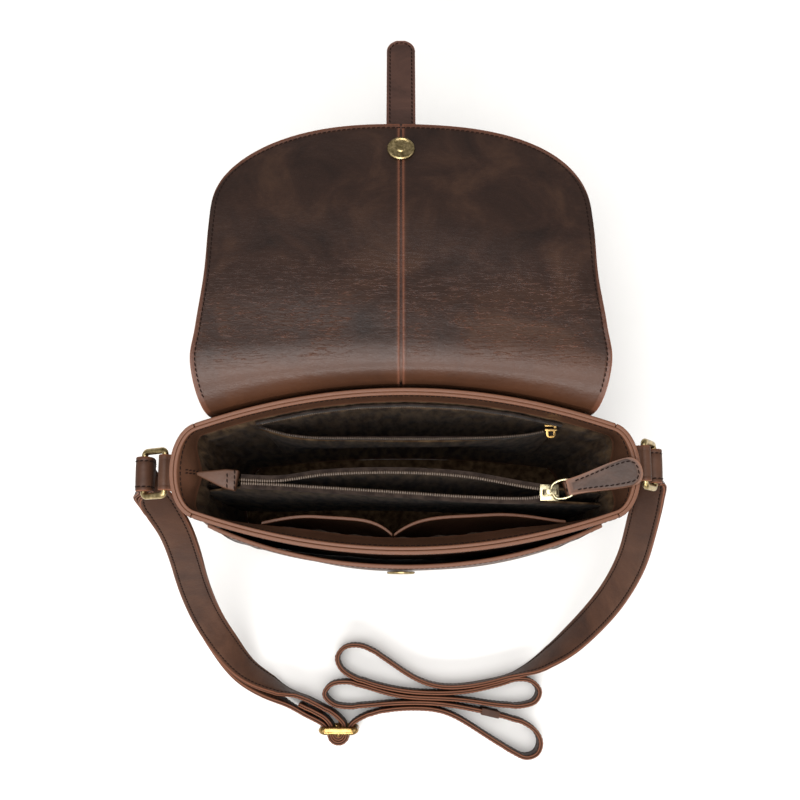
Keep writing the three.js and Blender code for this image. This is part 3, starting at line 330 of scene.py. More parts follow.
def cloth(name, dark, light, speck_mm, upright, sheen):
    """Napped or woven cloth: fine specks over slow creases whose shade is painted into the colour, stretched
    upright by a share below 1.
    """
    material, tree, output = new_material(name)
    place = add(tree, "ShaderNodeTexCoord").outputs["Object"]
    nap = add(
        tree, "ShaderNodeTexNoise", Vector=place, Scale=per_metre(speck_mm), Detail=4.0, Roughness=0.7,
    ).outputs["Fac"]
    hanging = add(tree, "ShaderNodeMapping", Vector=place, Scale=(1, 1, upright))
    # This noise is both the creases' bump and a painted crease shade in the colour.
    pucker_bump_and_shade = add(
        tree,
        "ShaderNodeTexNoise",
        Vector=hanging.outputs["Vector"],
        Scale=per_metre(PUCKER_MM),
        Detail=3.0,
    ).outputs["Fac"]
    # The crease noise darkens the colour in upright stripes: painted crease shade over the cloth's own
    # specks.
    specks_and_crease_shade = add(tree, "ShaderNodeMath", {"operation": "MULTIPLY_ADD"})
    tree.links.new(nap, specks_and_crease_shade.inputs[0])
    specks_and_crease_shade.inputs[1].default_value = 0.5
    tree.links.new(spread(tree, pucker_bump_and_shade, 0.3, 0.7, 0, 0.5), specks_and_crease_shade.inputs[2])
    colour = ramp(tree, specks_and_crease_shade.outputs[0], [(0.32, dark), (0.68, light)])
    fine = add(tree, "ShaderNodeBump", Height=nap, Strength=0.5, Distance=0.2 * MM)
    broad = add(
        tree,
        "ShaderNodeBump",
        Height=pucker_bump_and_shade,
        Strength=0.7,
        Distance=1.6 * MM,
        Normal=fine.outputs["Normal"],
    )
    shader = add(
        tree,
        "ShaderNodeBsdfPrincipled",
        Base_Color=colour,
        Roughness=0.95,
        Specular_IOR_Level=0.08,
        Normal=broad.outputs["Normal"],
        Sheen_Weight=sheen,
        Sheen_Roughness=0.4,
    )
    tree.links.new(shader.outputs[0], output.inputs[0])
    return material


def plain(name, dark, light, speck_mm, roughness, metallic=0.0, bump=0.1, gloss=0.5):
    """A finish with a slight mottle: metal, thread or nylon."""
    material, tree, output = new_material(name)
    place = add(tree, "ShaderNodeTexCoord").outputs["Object"]
    mottle = add(
        tree, "ShaderNodeTexNoise", Vector=place, Scale=per_metre(speck_mm), Detail=4.0, Roughness=0.6,
    ).outputs["Fac"]
    uneven = add(tree, "ShaderNodeBump", Height=mottle, Strength=bump, Distance=0.2 * MM)
    shader = add(
        tree,
        "ShaderNodeBsdfPrincipled",
        Base_Color=ramp(tree, spread(tree, mottle, 0.35, 0.65), [(0, dark), (1, light)]),
        Roughness=spread(tree, mottle, 0.3, 0.7, roughness - 0.06, roughness + 0.1),
        Metallic=metallic,
        Specular_IOR_Level=gloss,
        Normal=uneven.outputs["Normal"],
    )
    tree.links.new(shader.outputs[0], output.inputs[0])
    return material


LINING = cloth("napped_lining", "352416", "5e4a35", NAP_MM, 0.22, 0.02)
TAPE = cloth("woven_zip_tape", "1d1613", "2e2520", RIB_MM, 1.0, 0.05)
THREAD = plain("waxed_thread", "120a07", "20130e", 0.6, 0.8, gloss=0.1)
COIL = plain("nylon_coil", "3f332a", "5f5043", 1.5, 0.4)
ANTIQUE_BRASS = plain("antique_brass", "7d6c46", "bda87c", 2.5, 0.32, metallic=1.0)
WORN_BRASS = plain("plated_brass", "8a8065", "b3a888", 3.0, 0.26, metallic=1.0, bump=0.05)
BRIGHT_BRASS = plain("polished_brass", "86693c", "a98a58", 4.0, 0.26, metallic=1.0, bump=0.05)
FLOOR = plain("pale_board", "e3e1de", "e5e3e0", 60, 0.8, bump=0.0)
print("materials:", len(bpy.data.materials))

# %% [markdown]
# A leather piece is a sheet with two faces and a rim, so one function makes them all. It takes the
# two faces as rules that turn shares across and along the piece into places, lays a fine grid on each,
# and closes the rim. Because it knows how far each point is from an edge, it can press the stitch line
# in, raise the turned edge beside it and write the wear attribute. A bevel rounds the rim.

# %% Sheets of leather


def finish_piece(name, mesh, material, replaced=(), slot=None, bevel=0.0, smooth_angle=50):
    """A mesh as a piece of the bag that rides on it, with round edges."""
    piece = bpy.data.objects.new(name, mesh)
    bpy.context.scene.collection.objects.link(piece)
    mesh.materials.append(material)
    if bevel:
        rounding = piece.modifiers.new("round_edges", "BEVEL")
        rounding.width = bevel * MM
        rounding.segments = 3
        rounding.limit_method = "ANGLE"
        rounding.angle_limit = math.radians(smooth_angle)
        rounding.use_clamp_overlap = True
    mesh.shade_smooth()
    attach(piece, "root")
    if replaced:
        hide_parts(*replaced)
    return piece


def mesh_from(name, points, faces, marks=None):
    """A mesh that faces out, from places in millimetres, with a value per point for each mark."""
    mesh = bpy.data.meshes.new(name)
    mesh.from_pydata((np.asarray(points) * MM).tolist(), [], faces)
    for mark, values in (marks or {}).items():
        attribute = mesh.attributes.new(mark, "FLOAT", "POINT")
        attribute.data.foreach_set("value", np.asarray(values, np.float32).ravel())
    work = bmesh.new()
    work.from_mesh(mesh)
    bmesh.ops.recalc_face_normals(work, faces=work.faces)
    work.to_mesh(mesh)
    work.free()
    return mesh


def smooth(start, end, value):
    """A share that eases from 0 at the start to 1 at the end."""
    share = np.clip((value - start) / (end - start), 0, 1)
    return share * share * (3 - 2 * share)


def running_length(places, axis):
    """Millimetres run along one axis of a grid of places."""
    steps = np.linalg.norm(np.diff(places, axis=axis), axis=-1)
    start = np.zeros_like(np.take(steps, [0], axis=axis))
    return np.concatenate([start, np.cumsum(steps, axis=axis)], axis=axis)


def edge_distance(places, wraps, open_sides):
    """How far each point of a grid is from the nearest named edge: left, right, root or end."""
    along = running_length(places, 0)
    distance = np.full(places.shape[:2], 1e3)
    if "root" in open_sides:
        distance = np.minimum(distance, along)
    if "end" in open_sides:
        distance = np.minimum(distance, along[-1:] - along)
    if not wraps:
        across = running_length(places, 1)
        if "left" in open_sides:
            distance = np.minimum(distance, across)
        if "right" in open_sides:
            distance = np.minimum(distance, across[:, -1:] - across)
    return distance


STITCH_INSET = 2.7
EDGE_BAND = 0.4
ROW_CROWDING = 0.75


def mix(start, end, share):
    return start + (end - start) * share


def folded_ridge(distance):
    """The low ridge of a folded edge, in millimetres."""
    return 0.36 * np.exp(-(((distance - 0.9) / 0.8) ** 2))


def turned_edge(distance):
    """A folded ridge and then the line that its stitches press in."""
    return folded_ridge(distance) - 0.3 * np.exp(-(((distance - STITCH_INSET) / 0.55) ** 2))


ALL_SIDES = ("left", "right", "root", "end")


def crowded(count, crowding):
    """Even shares from 0 to 1, crowded towards both ends, where the stitched edges need the finest mesh."""
    share = np.linspace(0, 1, count + 1)
    return mix(share, (1 - np.cos(share * math.pi)) / 2, crowding)


def leather_sheet(name, outer, inner, columns, rows, material, wraps=False, edges=ALL_SIDES, folded=(),
                  bevel=0.5, wear_width=1.5, crowding=0.75, marks=None, **piece):
    """A closed sheet between two faces, each a rule of shares across (u) and along (v).

    edges are its stitched sides and folded its sides with a fold alone. crowding is for the columns.
    marks names further attributes, each a rule of the same shares.
    """
    across = columns if wraps else columns + 1
    across_shares = np.arange(columns) / columns if wraps else crowded(columns, crowding)
    u, v = np.meshgrid(across_shares, crowded(rows, ROW_CROWDING))
    layers = []
    wears = []
    faces_of_sheet = [outer(u, v), inner(u, v)]
    thickness_way = faces_of_sheet[0] - faces_of_sheet[1]
    thickness_way = thickness_way / np.maximum(np.linalg.norm(thickness_way, axis=-1, keepdims=True), 1e-9)
    for side, places in zip((1, -1), faces_of_sheet):
        stitched = edge_distance(places, wraps, edges)
        fold = edge_distance(places, wraps, folded)
        distance = np.minimum(stitched, fold)
        relief = turned_edge(stitched) + folded_ridge(fold)
        places = places + side * thickness_way * relief[..., None] * 0.5
        layers.append(places.reshape(-1, 3))
        border = EDGE_BAND * (1 - smooth(STITCH_INSET - 0.6, STITCH_INSET + 0.8, stitched))
        wears.append(np.maximum(np.exp(-((distance / wear_width) ** 2)), border).ravel())
    count = across * (rows + 1)
    j, i = np.mgrid[0:rows, 0:columns]
    near = j * across + i
    far = j * across + (i + 1) % across
    quads = np.stack([near, far, far + across, near + across], axis=-1).reshape(-1, 4)
    faces = quads.tolist() + (quads[:, ::-1] + count).tolist()
    for row, flip in ((0, 1), (rows, -1)):
        a = row * across + np.arange(columns)
        b = row * across + (np.arange(columns) + 1) % across
        faces += np.stack([a, a + count, b + count, b], axis=-1)[:, ::flip].tolist()
    if not wraps:
        for column, flip in ((0, -1), (columns, 1)):
            a = np.arange(rows) * across + column
            b = a + across
            faces += np.stack([a, a + count, b + count, b], axis=-1)[:, ::flip].tolist()
    values = {"wear": np.concatenate(wears)}
    for mark, rule in (marks or {}).items():
        values[mark] = np.tile(np.broadcast_to(rule(u, v), u.shape).ravel(), 2)
    mesh = mesh_from(name, np.concatenate(layers), faces, values)
    return finish_piece(name, mesh, material, bevel=bevel, **piece)


# %% [markdown]
# A saddle stitch is a short, thick, slightly slanted thread that dips into the leather at both ends.
# Thousands of them are too many to model one by one, so one small capsule is copied along a path by
# array arithmetic and the copies are kept as a single mesh.

# %% Stitches and teeth in rows
STITCH_PITCH = 3.0
STITCH_LENGTH = 2.3
THREAD_RADIUS = 0.34


def resample(path, pitch, start=0.5):
    """Places at an even pitch along a path, with the directions there."""
    path = np.asarray(path, float)
    length = running_length(path[:, None], 0)[:, 0]
    stops = np.arange(pitch * start, length[-1] - pitch * 0.3, pitch)
    places = np.stack([np.interp(stops, length, path[:, k]) for k in range(3)], axis=-1)
    ahead = np.stack([np.interp(stops + 0.5, length, path[:, k]) for k in range(3)], axis=-1)
    behind = np.stack([np.interp(stops - 0.5, length, path[:, k]) for k in range(3)], axis=-1)
    along = ahead - behind
    return stops, places, along / np.linalg.norm(along, axis=-1, keepdims=True)


def capsule(length, radius, sides=6):
    """A small rounded rod along X, as places and faces."""
    rings = [(-0.5, 0.4), (-0.22, 1.08), (0.22, 1.08), (0.5, 0.4)]
    angles = np.arange(sides) * 2 * math.pi / sides
    places = [
        [along * length, math.cos(a) * wide * radius, math.sin(a) * wide * radius]
        for along, wide in rings
        for a in angles
    ]
    faces = []
    for k in range(len(rings) - 1):
        for n in range(sides):
            m = (n + 1) % sides
            faces.append([k * sides + n, k * sides + m, (k + 1) * sides + m, (k + 1) * sides + n])
    faces.append(list(range(sides))[::-1])
    faces.append([(len(rings) - 1) * sides + n for n in range(sides)])
    return np.array(places), faces


def row_of(shape, path, up, pitch, lift=0.0, slant=0.0):
    """Copies of a small shape along a path. up is one direction or one for each point of the path."""
    shape_places, shape_faces = shape
    stops, places, along = resample(path, pitch)
    up = np.asarray(up, float)
    if up.ndim == 1:
        ups = np.broadcast_to(up, places.shape)
    else:
        length = running_length(np.asarray(path, float)[:, None], 0)[:, 0]
        ups = np.stack([np.interp(stops, length, up[:, k]) for k in range(3)], axis=-1)
    side = np.cross(ups, along)
    side = side / np.maximum(np.linalg.norm(side, axis=-1, keepdims=True), 1e-9)
    ups = np.cross(along, side)
    turned = along * math.cos(slant) + side * math.sin(slant)
    turned_side = side * math.cos(slant) - along * math.sin(slant)
    points = (
        places[:, None]
        + shape_places[None, :, 0:1] * turned[:, None]
        + shape_places[None, :, 1:2] * turned_side[:, None]
        + (shape_places[None, :, 2:3] + lift) * ups[:, None]
    )
    size = len(shape_places)
    faces = [[f + k * size for f in face] for k in range(len(places)) for face in shape_faces]
    return points.reshape(-1, 3), faces


def joined_rows(name, rows, material, **piece):
    """Several rows of small shapes as one mesh."""
    points = []
    faces = []
    start = 0
    for places, shape_faces in rows:
        points.append(places)
        faces += [[f + start for f in face] for face in shape_faces]
        start += len(places)
    mesh = bpy.data.meshes.new(name)
    mesh.from_pydata((np.concatenate(points) * MM).tolist(), [], faces)
    print(name, "faces:", len(faces))
    return finish_piece(name, mesh, material, **piece)


def stitch_row(path, up, lift=0.12):
    """A row of slightly slanted stitches along a path."""
    return row_of(capsule(STITCH_LENGTH, THREAD_RADIUS), path, up, STITCH_PITCH, lift=lift, slant=0.12)


# %% [markdown]
# The body's outline is one closed curve at every height: a bowed panel, a rounded gusset, and the same
# again turned round. A short table says how the outline grows from the base to the mouth. All the walls,
# pockets and linings are set inside or outside this one curve, so they always lie on one another.

# %% The body's outline
BODY_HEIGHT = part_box("front_panel")[1].z / MM
MOUTH_WIDTH = 2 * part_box("gusset_right")[1].x / MM
MOUTH_DEPTH = 2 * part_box("back_panel")[1].y / MM
LEATHER_MM = 2
GAP = 0.3
PANEL_SPAN = 0.36
GUSSET_SPAN = 0.14
BACK_START = 0
LEFT_START = 0.36
FRONT_START = 0.5
RIGHT_START = 0.86
SEAM_SHARE = 0.905
BODY_SECTIONS = {
    "up": [0, 0.02, 0.06, 0.3, 0.65, 0.88, 1],
    "width": [0.93, 0.948, 0.955, 0.968, 0.985, 0.992, 1],
    "depth": [0.79, 0.82, 0.85, 0.93, 0.995, 0.99, 1],
    "corner": [0.8, 0.79, 0.78, 0.7, 0.62, 0.57, 0.56],
}
LOOSE_SECTIONS = {
    "up": [0, 0.35, 0.65, 0.87, 0.92, 1],
    "pull": [0, 0, 0.45, 0.95, 1, 0],
    "slack": [0, 0.1, 0.95, 1, 0.8, 0],
}
GUSSET_PULL = 10
FRONT_SLACK = 7
DENT_WAVES = ((0.6, 3, 4.5, 0), (0.35, 7, -8, 1), (0.3, 5, 13, 0))


def row_value(table, key, place, column):
    """A column's value at a place along the key, on a smooth curve through the rows."""
    keys = np.array(table[key], float)
    values = np.array(table[column], float)
    place = np.asarray(place, float)
    row = np.clip(np.searchsorted(keys, place) - 1, 0, len(keys) - 2)
    before = np.maximum(row - 1, 0)
    after = np.minimum(row + 2, len(keys) - 1)
    span = keys[row + 1] - keys[row]
    share = np.clip((place - keys[row]) / span, 0, 1)
    slope_from = (values[row + 1] - values[before]) / (keys[row + 1] - keys[before]) * span
    slope_to = (values[after] - values[row]) / (keys[after] - keys[row]) * span
    cube = share ** 3
    square = share ** 2
    return (
        (2 * cube - 3 * square + 1) * values[row]
        + (cube - 2 * square + share) * slope_from
        + (3 * square - 2 * cube) * values[row + 1]
        + (cube - square) * slope_to
    )


def body_sizes(height):
    """Half the width and depth of the body at a height, and where the corner seam stands there."""
    up = height / BODY_HEIGHT
    half_width = MOUTH_WIDTH / 2 * row_value(BODY_SECTIONS, "up", up, "width")
    half_depth = MOUTH_DEPTH / 2 * row_value(BODY_SECTIONS, "up", up, "depth")
    seam_x = half_width * SEAM_SHARE
    seam_y = half_depth * row_value(BODY_SECTIONS, "up", up, "corner")
    return half_width, half_depth, seam_x, seam_y


def outline_at(share, height):
    """The body's outline at a share of the way round and at a height: a bowed panel, then a gusset."""
    half_width, half_depth, seam_x, seam_y = body_sizes(height)
    turn = share - np.floor(share)
    half = np.where(turn >= 0.5, turn - 0.5, turn)
    flip = np.where(turn >= 0.5, -1, 1)
    across = 1 - 2 * half / PANEL_SPAN
    panel_x = seam_x * across
    panel_y = seam_y + (half_depth - seam_y) * (1 - across ** 2)
    t = np.clip((half - PANEL_SPAN) / GUSSET_SPAN, 0, 1)
    reach = (half_width - seam_x) / 0.75
    shoulder = seam_y * 0.74
    middle = 3 * (1 - t) ** 2 * t + 3 * (1 - t) * t ** 2
    gusset_x = -seam_x * ((1 - t) ** 3 + t ** 3) - (seam_x + reach) * middle
    gusset_y = seam_y * ((1 - t) ** 3 - t ** 3) + shoulder * (3 * (1 - t) ** 2 * t - 3 * (1 - t) * t ** 2)
    on_panel = half <= PANEL_SPAN
    return flip * np.where(on_panel, panel_x, gusset_x), flip * np.where(on_panel, panel_y, gusset_y)


def dent(share, height):
    """Soft dents in the standing bag, in millimetres: the leather sags, and the gussets buckle a little."""
    up = height / BODY_HEIGHT
    around = share * 2 * math.pi
    sag = 0
    for size, round_turns, up_turns, shift in DENT_WAVES:
        sag = sag + size * np.sin(around * round_turns + up * up_turns + shift)
    return sag * smooth(0.03, 0.3, up) * (1 - smooth(0.72, 0.97, up))


def wall_point(share, height, inset):
    """A place on the body's wall, inset millimetres inside its outer face."""
    share, height, inset = np.broadcast_arrays(share, np.asarray(height, float), inset)
    inset = inset + dent(share, height)
    x, y = outline_at(share, height)
    x1, y1 = outline_at(share + 0.004, height)
    x0, y0 = outline_at(share - 0.004, height)
    length = np.hypot(x1 - x0, y1 - y0)
    return np.stack([x - (y1 - y0) / length * inset, y + (x1 - x0) / length * inset, height], axis=-1)


def looseness(share, height):
    """How far the inner leather and the lining stand off the outer wall."""
    up = height / BODY_HEIGHT
    turn = share - np.floor(share)
    left = np.abs(turn - (LEFT_START + GUSSET_SPAN / 2))
    right = np.abs(turn - (RIGHT_START + GUSSET_SPAN / 2))
    pull = 1 - smooth(0, GUSSET_SPAN * 0.5, np.minimum(left, right))
    from_front = np.abs(turn - (FRONT_START + PANEL_SPAN / 2)) / (PANEL_SPAN / 2)
    slack = 1 - smooth(0.45, 1, from_front)
    return (
        GUSSET_PULL * pull * np.maximum(row_value(LOOSE_SECTIONS, "up", up, "pull"), 0)
        + FRONT_SLACK * slack * np.maximum(row_value(LOOSE_SECTIONS, "up", up, "slack"), 0)
    )


print("body, mm:", round(MOUTH_WIDTH), round(MOUTH_DEPTH), round(BODY_HEIGHT))

# %% [markdown]
# The outer walls are four pieces of leather whose seams stand at the corners. The real bag is sewn with
# the edges turned, so each seam is a low ridge with a row of stitches on the panel's side. Above the
# lining a leather facing lines the mouth, and the two top edges, side by side, make the double rim.

# %% Walls, facing and lining
FACING_MM = 1.6
FACING_HEIGHT = 20
LINING_MM = 1
LINING_INSET = LEATHER_MM + GAP
ON_LINING = LINING_INSET + LINING_MM + GAP * 2.5


def body_wall(name, start, span, bottom, top, inset, thickness, columns, rows, material, trim=0.0, **sheet):
    def face(depth):
        def place(u, v):
            share = start + mix(trim, span - trim, u)
            height = mix(bottom, top, v)
            return wall_point(share, height, inset(share, height) + depth)

        return place

    return leather_sheet(name, face(0), face(thickness), columns, rows, material, **sheet)


def on_wall(share, height):
    """The outer walls stand on the outline itself."""
    return np.zeros(np.broadcast(share, height).shape)


def on_facing(share, height):
    """The facing and the lining stand inside the wall, further where they hang loose."""
    return LINING_INSET + looseness(share, height)


def lining_pucker(share, height):
    """The lining hangs in shallow upright creases that fade towards the floor."""
    fine = np.sin(share * 410 + np.sin(height * 0.03) * 2.1)
    broad = np.sin(share * 173 + height * 0.02)
    creases = fine * 0.5 + broad * 0.5
    from_left = np.abs(share - LEFT_START - GUSSET_SPAN / 2)
    from_right = np.abs(share - RIGHT_START - GUSSET_SPAN / 2)
    from_gusset = np.minimum(from_left, from_right)
    depth = 0.6 + 0.9 * (1 - smooth(GUSSET_SPAN * 0.3, GUSSET_SPAN * 0.5, from_gusset))
    tugs = np.sin(share * 95 + height * 0.19 + np.sin(share * 60) * 1.5)
    tugs = tugs * np.sin(share * 31 - height * 0.05)
    hanging = smooth(20, 120, height) * (1 - smooth(200, 214, height))
    return on_facing(share, height) + depth * (creases + 0.6 * tugs + 1.4) * hanging


SEAM_TRIM = 0.0004
for name, start, span, columns in (
    ("back_panel", BACK_START, PANEL_SPAN, 84),
    ("gusset_left", LEFT_START, GUSSET_SPAN, 36),
    ("front_panel", FRONT_START, PANEL_SPAN, 84),
    ("gusset_right", RIGHT_START, GUSSET_SPAN, 36),
):
    body_wall(
        name + "_leather", start, span, 0, BODY_HEIGHT, on_wall, LEATHER_MM, columns, 72, BODY_LEATHER,
        trim=SEAM_TRIM, replaced=(name,), slot="body_leather", bevel=0.85, wear_width=1.3,
    )

body_wall(
    "facing_leather", 0, 1, BODY_HEIGHT - FACING_HEIGHT, BODY_HEIGHT, on_facing, FACING_MM, 320, 18,
    BODY_LEATHER, wraps=True, edges=("end", "root"), replaced=("facing",), slot="body_leather", bevel=0.7,
    wear_width=1.3,
)
body_wall(
    "lining_cloth", 0, 1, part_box("lining_wall")[0].z / MM, BODY_HEIGHT - FACING_HEIGHT - GAP, lining_pucker,
    LINING_MM * 0.6, 420, 40, LINING, wraps=True, edges=(), replaced=("lining_wall",), slot="lining",
    bevel=0.2,
)

# %% [markdown]
# The pockets are flat pieces sewn to a wall at their sides and bottom. Their mouths gape, because a
# sewn edge pulls itself straight across the wall's bow. That one rule, a little gape and a lot of
# straightness, gives the leather pockets in front and the zipped one behind their shape.

# %% Pockets
FLAP_SHIFT = -2.2
POCKET_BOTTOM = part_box("front_pocket")[0].z / MM
POCKET_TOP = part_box("front_pocket")[1].z / MM
POCKET_GAPE = 5.2
SLIP_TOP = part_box("slip_pocket_left")[1].z / MM
SLIP_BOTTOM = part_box("slip_pocket_left")[0].z / MM
BACK_POCKET_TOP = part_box("back_pocket")[1].z / MM
BACK_POCKET_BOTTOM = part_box("back_pocket")[0].z / MM
SLIP_MM = 1.6
SLIP_LEFT_SIDE = -85
SLIP_RIGHT_SIDE = 95
SLIP_MEETING = -7
SLIP_APART = 1
BACK_POCKET_LEFT = -88
BACK_POCKET_RIGHT = 93
POCKET_SIDE_MARGIN = 0.03


def panel_share(start, x, height):
    """The share round the outline at which a panel is at a place along X."""
    across = x / body_sizes(height)[2]
    turned = -across if start == FRONT_START else across
    return start + PANEL_SPAN * (1 - turned) / 2


def mouth_stand(pocket, share):
    """How far a pocket's mouth stands off its wall: its gape, and the wall's bow cut straight."""
    across = np.abs((share - pocket["from"]) / (pocket["to"] - pocket["from"]) * 2 - 1)

    def depth_at(place):
        return np.abs(outline_at(np.asarray(place, float), pocket["top"])[1])

    bow = depth_at(share) - min(depth_at(pocket["from"]), depth_at(pocket["to"]))
    middle = pocket["gape"] + pocket["straightness"] * bow
    return middle * (1 - np.clip(across, 0, 1) ** pocket["fullness"])


def inner_pocket(name, node, pocket, material, slot):
    def inset(share, height):
        rise = smooth(0, 0.85, (height - pocket["bottom"]) / (pocket["top"] - pocket["bottom"]))
        return ON_LINING + looseness(share, height) + mouth_stand(pocket, share) * rise

    span = pocket["to"] - pocket["from"]
    body_wall(
        name, pocket["from"], span, pocket["bottom"], pocket["top"], inset, SLIP_MM, 64, 36, material,
        replaced=(node,), slot=slot, bevel=0.55, edges=("left", "right", "end"), wear_width=1.6,
    )


def slip(low_x, high_x):
    return {
        "from": panel_share(FRONT_START, low_x, SLIP_TOP),
        "to": panel_share(FRONT_START, high_x, SLIP_TOP),
        "top": SLIP_TOP,
        "bottom": SLIP_BOTTOM,
        "gape": 3,
        "straightness": 0.55,
        "fullness": 4,
    }


slip_left = slip(SLIP_LEFT_SIDE, SLIP_MEETING - SLIP_APART / 2)
slip_right = slip(SLIP_MEETING + SLIP_APART / 2, SLIP_RIGHT_SIDE)
back_pocket = {
    "from": panel_share(BACK_START, BACK_POCKET_RIGHT, BACK_POCKET_TOP),
    "to": panel_share(BACK_START, BACK_POCKET_LEFT, BACK_POCKET_TOP),
    "top": BACK_POCKET_TOP,
    "bottom": BACK_POCKET_BOTTOM,
    "gape": 6,
    "straightness": 1,
    "fullness": 8,
}
inner_pocket("slip_pocket_left_leather", "slip_pocket_left", slip_left, BODY_LEATHER, "pocket_leather")
inner_pocket("slip_pocket_right_leather", "slip_pocket_right", slip_right, BODY_LEATHER, "pocket_leather")
inner_pocket("back_pocket_cloth", "back_pocket", back_pocket, LINING, "lining")

POCKET_START = FRONT_START + PANEL_SPAN * POCKET_SIDE_MARGIN
POCKET_SPAN = PANEL_SPAN * (1 - 2 * POCKET_SIDE_MARGIN)


def pocket_full(height):
    return smooth(-0.35, 0.9, (height - POCKET_BOTTOM) / (POCKET_TOP - POCKET_BOTTOM))


def on_front_pocket(share, height):
    across = np.abs((share - POCKET_START) / POCKET_SPAN * 2 - 1)
    return -(GAP + LEATHER_MM + POCKET_GAPE * (1 - np.clip(across, 0, 1) ** 2.6) * pocket_full(height))


body_wall(
    "front_pocket_leather", POCKET_START, POCKET_SPAN, POCKET_BOTTOM, POCKET_TOP, on_front_pocket, LEATHER_MM,
    90, 76, BODY_LEATHER, replaced=("front_pocket",), slot="pocket_leather", bevel=0.7, wear_width=1.6,
)

# %% [markdown]
# The flap is three layers: one hide outside and two halves inside that meet in a stitched seam. In side
# view it climbs out of the seam behind the bag, rolls over the rim and falls away. The curve through the
# points of that side view is measured by its length, so that the same rule gives any layer. Slow waves
# across it and a slack at its corners keep it from looking like a board.

# %% The flap's side view and surface
FLAP_WIDTH = 226
FLAP_REACH = 166
FLAP_DROP = 22
FLAP_ROOT_DEPTH = 30
FLAP_CORNER = 63
FLAP_CORNER_POWER = 2.4
FLAP_OUTER_MM = 1.8
FLAP_FACING_MM = 1.3
FLAP_SIDE_DROOP = 3
FLAP_PROFILE = {
    "back": [0.022, 0.03, 0.062, 0.12, 0.2, 0.3, 0.49, 0.68, 0.86, 1, 1.2, 1.4],
    "up": [-0.55, 0.05, 0.36, 0.47, 0.42, 0.31, 0.07, -0.27, -0.7, -1, -1.4, -1.79],
}
FLAP_OUTLINE = {
    "along": [0, 0.12, 0.24, 0.34, 0.48, 0.62, 0.82, 1],
    "width": [0.93, 0.965, 1.035, 1.02, 0.995, 0.99, 0.975, 0.96],
}
FLAP_EDGE_ROW = 10


def smooth_route(points, per_span, closed=False):
    """Places along a smooth curve through points, with no overshoot at uneven steps."""
    points = np.asarray(points, float)
    first = 2 * points[0] - points[1]
    last = 2 * points[-1] - points[-2]
    padded = np.concatenate([[first], points, [last]])
    spans = []
    for k in range(len(points) - 1):
        p0, p1, p2, p3 = padded[k:k + 4]
        steps = [max(np.linalg.norm(b - a), 0) ** 0.5 for a, b in ((p0, p1), (p1, p2), (p2, p3))]
        d1 = steps[1] if steps[1] > 1e-4 else 1.0
        d0 = steps[0] if steps[0] > 1e-4 else d1
        d2 = steps[2] if steps[2] > 1e-4 else d1
        slope_from = ((p1 - p0) / d0 - (p2 - p0) / (d0 + d1) + (p2 - p1) / d1) * d1
        slope_to = ((p2 - p1) / d1 - (p3 - p1) / (d1 + d2) + (p3 - p2) / d2) * d1
        t = (np.arange(per_span) / per_span)[:, None]
        spans.append(
            p1 + slope_from * t + (-3 * p1 + 3 * p2 - 2 * slope_from - slope_to) * t ** 2
            + (2 * p1 - 2 * p2 + slope_from + slope_to) * t ** 3
        )
    return np.concatenate(spans + [points[-1:]])


flap_seat = FLAP_FACING_MM + GAP * 2.2
root_height = BODY_HEIGHT - FLAP_ROOT_DEPTH
flap_points = [[0, body_sizes(root_height)[1] + flap_seat, root_height]]
for back, up in zip(FLAP_PROFILE["back"], FLAP_PROFILE["up"]):
    flap_points.append([0, MOUTH_DEPTH / 2 + back * FLAP_REACH, BODY_HEIGHT + up * FLAP_DROP])
SPAN_STEPS = 60
flap_route = smooth_route(flap_points, SPAN_STEPS)
flap_run = running_length(flap_route[:, None], 0)[:, 0]
flap_length = flap_run[SPAN_STEPS * FLAP_EDGE_ROW]
flap_ahead = np.gradient(flap_route, flap_run, axis=0)


def flap_profile(length):
    """Height and depth of the flap's middle at a length from its root, and the way to its lined side."""
    y = np.interp(length, flap_run, flap_route[:, 1])
    z = np.interp(length, flap_run, flap_route[:, 2])
    ahead_y = np.interp(length, flap_run, flap_ahead[:, 1])
    ahead_z = np.interp(length, flap_run, flap_ahead[:, 2])
    size = np.hypot(ahead_y, ahead_z)
    return y, z, -ahead_z / size, ahead_y / size


def corner_cut(across, depth, power):
    return depth * (1 - (1 - np.minimum(np.abs(across), 1) ** power) ** (1 / power))


def flap_wave(x, length):
    """Slow waves over the flap, in millimetres: bands across it, and a dimple at each side."""
    share = length / flap_length
    bands = 0.55 * np.sin(share * 21 + np.sin(x * 0.018) * 0.9) + 0.35 * np.sin(x * 0.045 + share * 9)
    return bands * smooth(0.26, 0.42, share)


def flap_point(across, length, offset):
    y, z, lined_y, lined_z = flap_profile(length)
    share = length / flap_length
    half_width = FLAP_WIDTH / 2 * row_value(FLAP_OUTLINE, "along", share, "width")
    _, half_depth, seam_x, seam_y = body_sizes(BODY_HEIGHT)
    x = across * half_width
    sag = (half_depth - seam_y) * ((x + FLAP_SHIFT) / seam_x) ** 2
    follow = 1 - 0.72 * smooth(0.1, 0.26, share) - 0.28 * smooth(0.26, 0.6, share)
    droop = FLAP_SIDE_DROOP * np.abs(across) ** 3 * smooth(0.25, 0.7, share)
    wave = flap_wave(x, length)
    return np.stack([
        x + FLAP_SHIFT,
        y - sag * follow + lined_y * offset,
        z - droop + wave + lined_z * offset,
    ], axis=-1)


# %% [markdown]
# The three layers of the flap come from one function: a layer is the flap's surface between two offsets
# and two shares across. The outer hide takes the whole width, and each facing takes half, with a folded
# edge at the middle seam. The closing tab lies under the flap's free edge and stands far past it. Its
# round end and the flap's round corners are cut by one rule.

# %% Flap layers and closing tab
FLAP_SEAM = 0.005
FLAP_ROWS = 130
TAB_WIDTH = 17.8
TAB_MM = 2.8
TAB_SEAT = 48
TAB_OVERHANG = 69


def flap_bent(u, v):
    """The leather is paler where it rolls over the rim."""
    return 1 - 0.92 * smooth(0.2, 0.3, v) - 0.08 * smooth(0.3, 0.6, v)


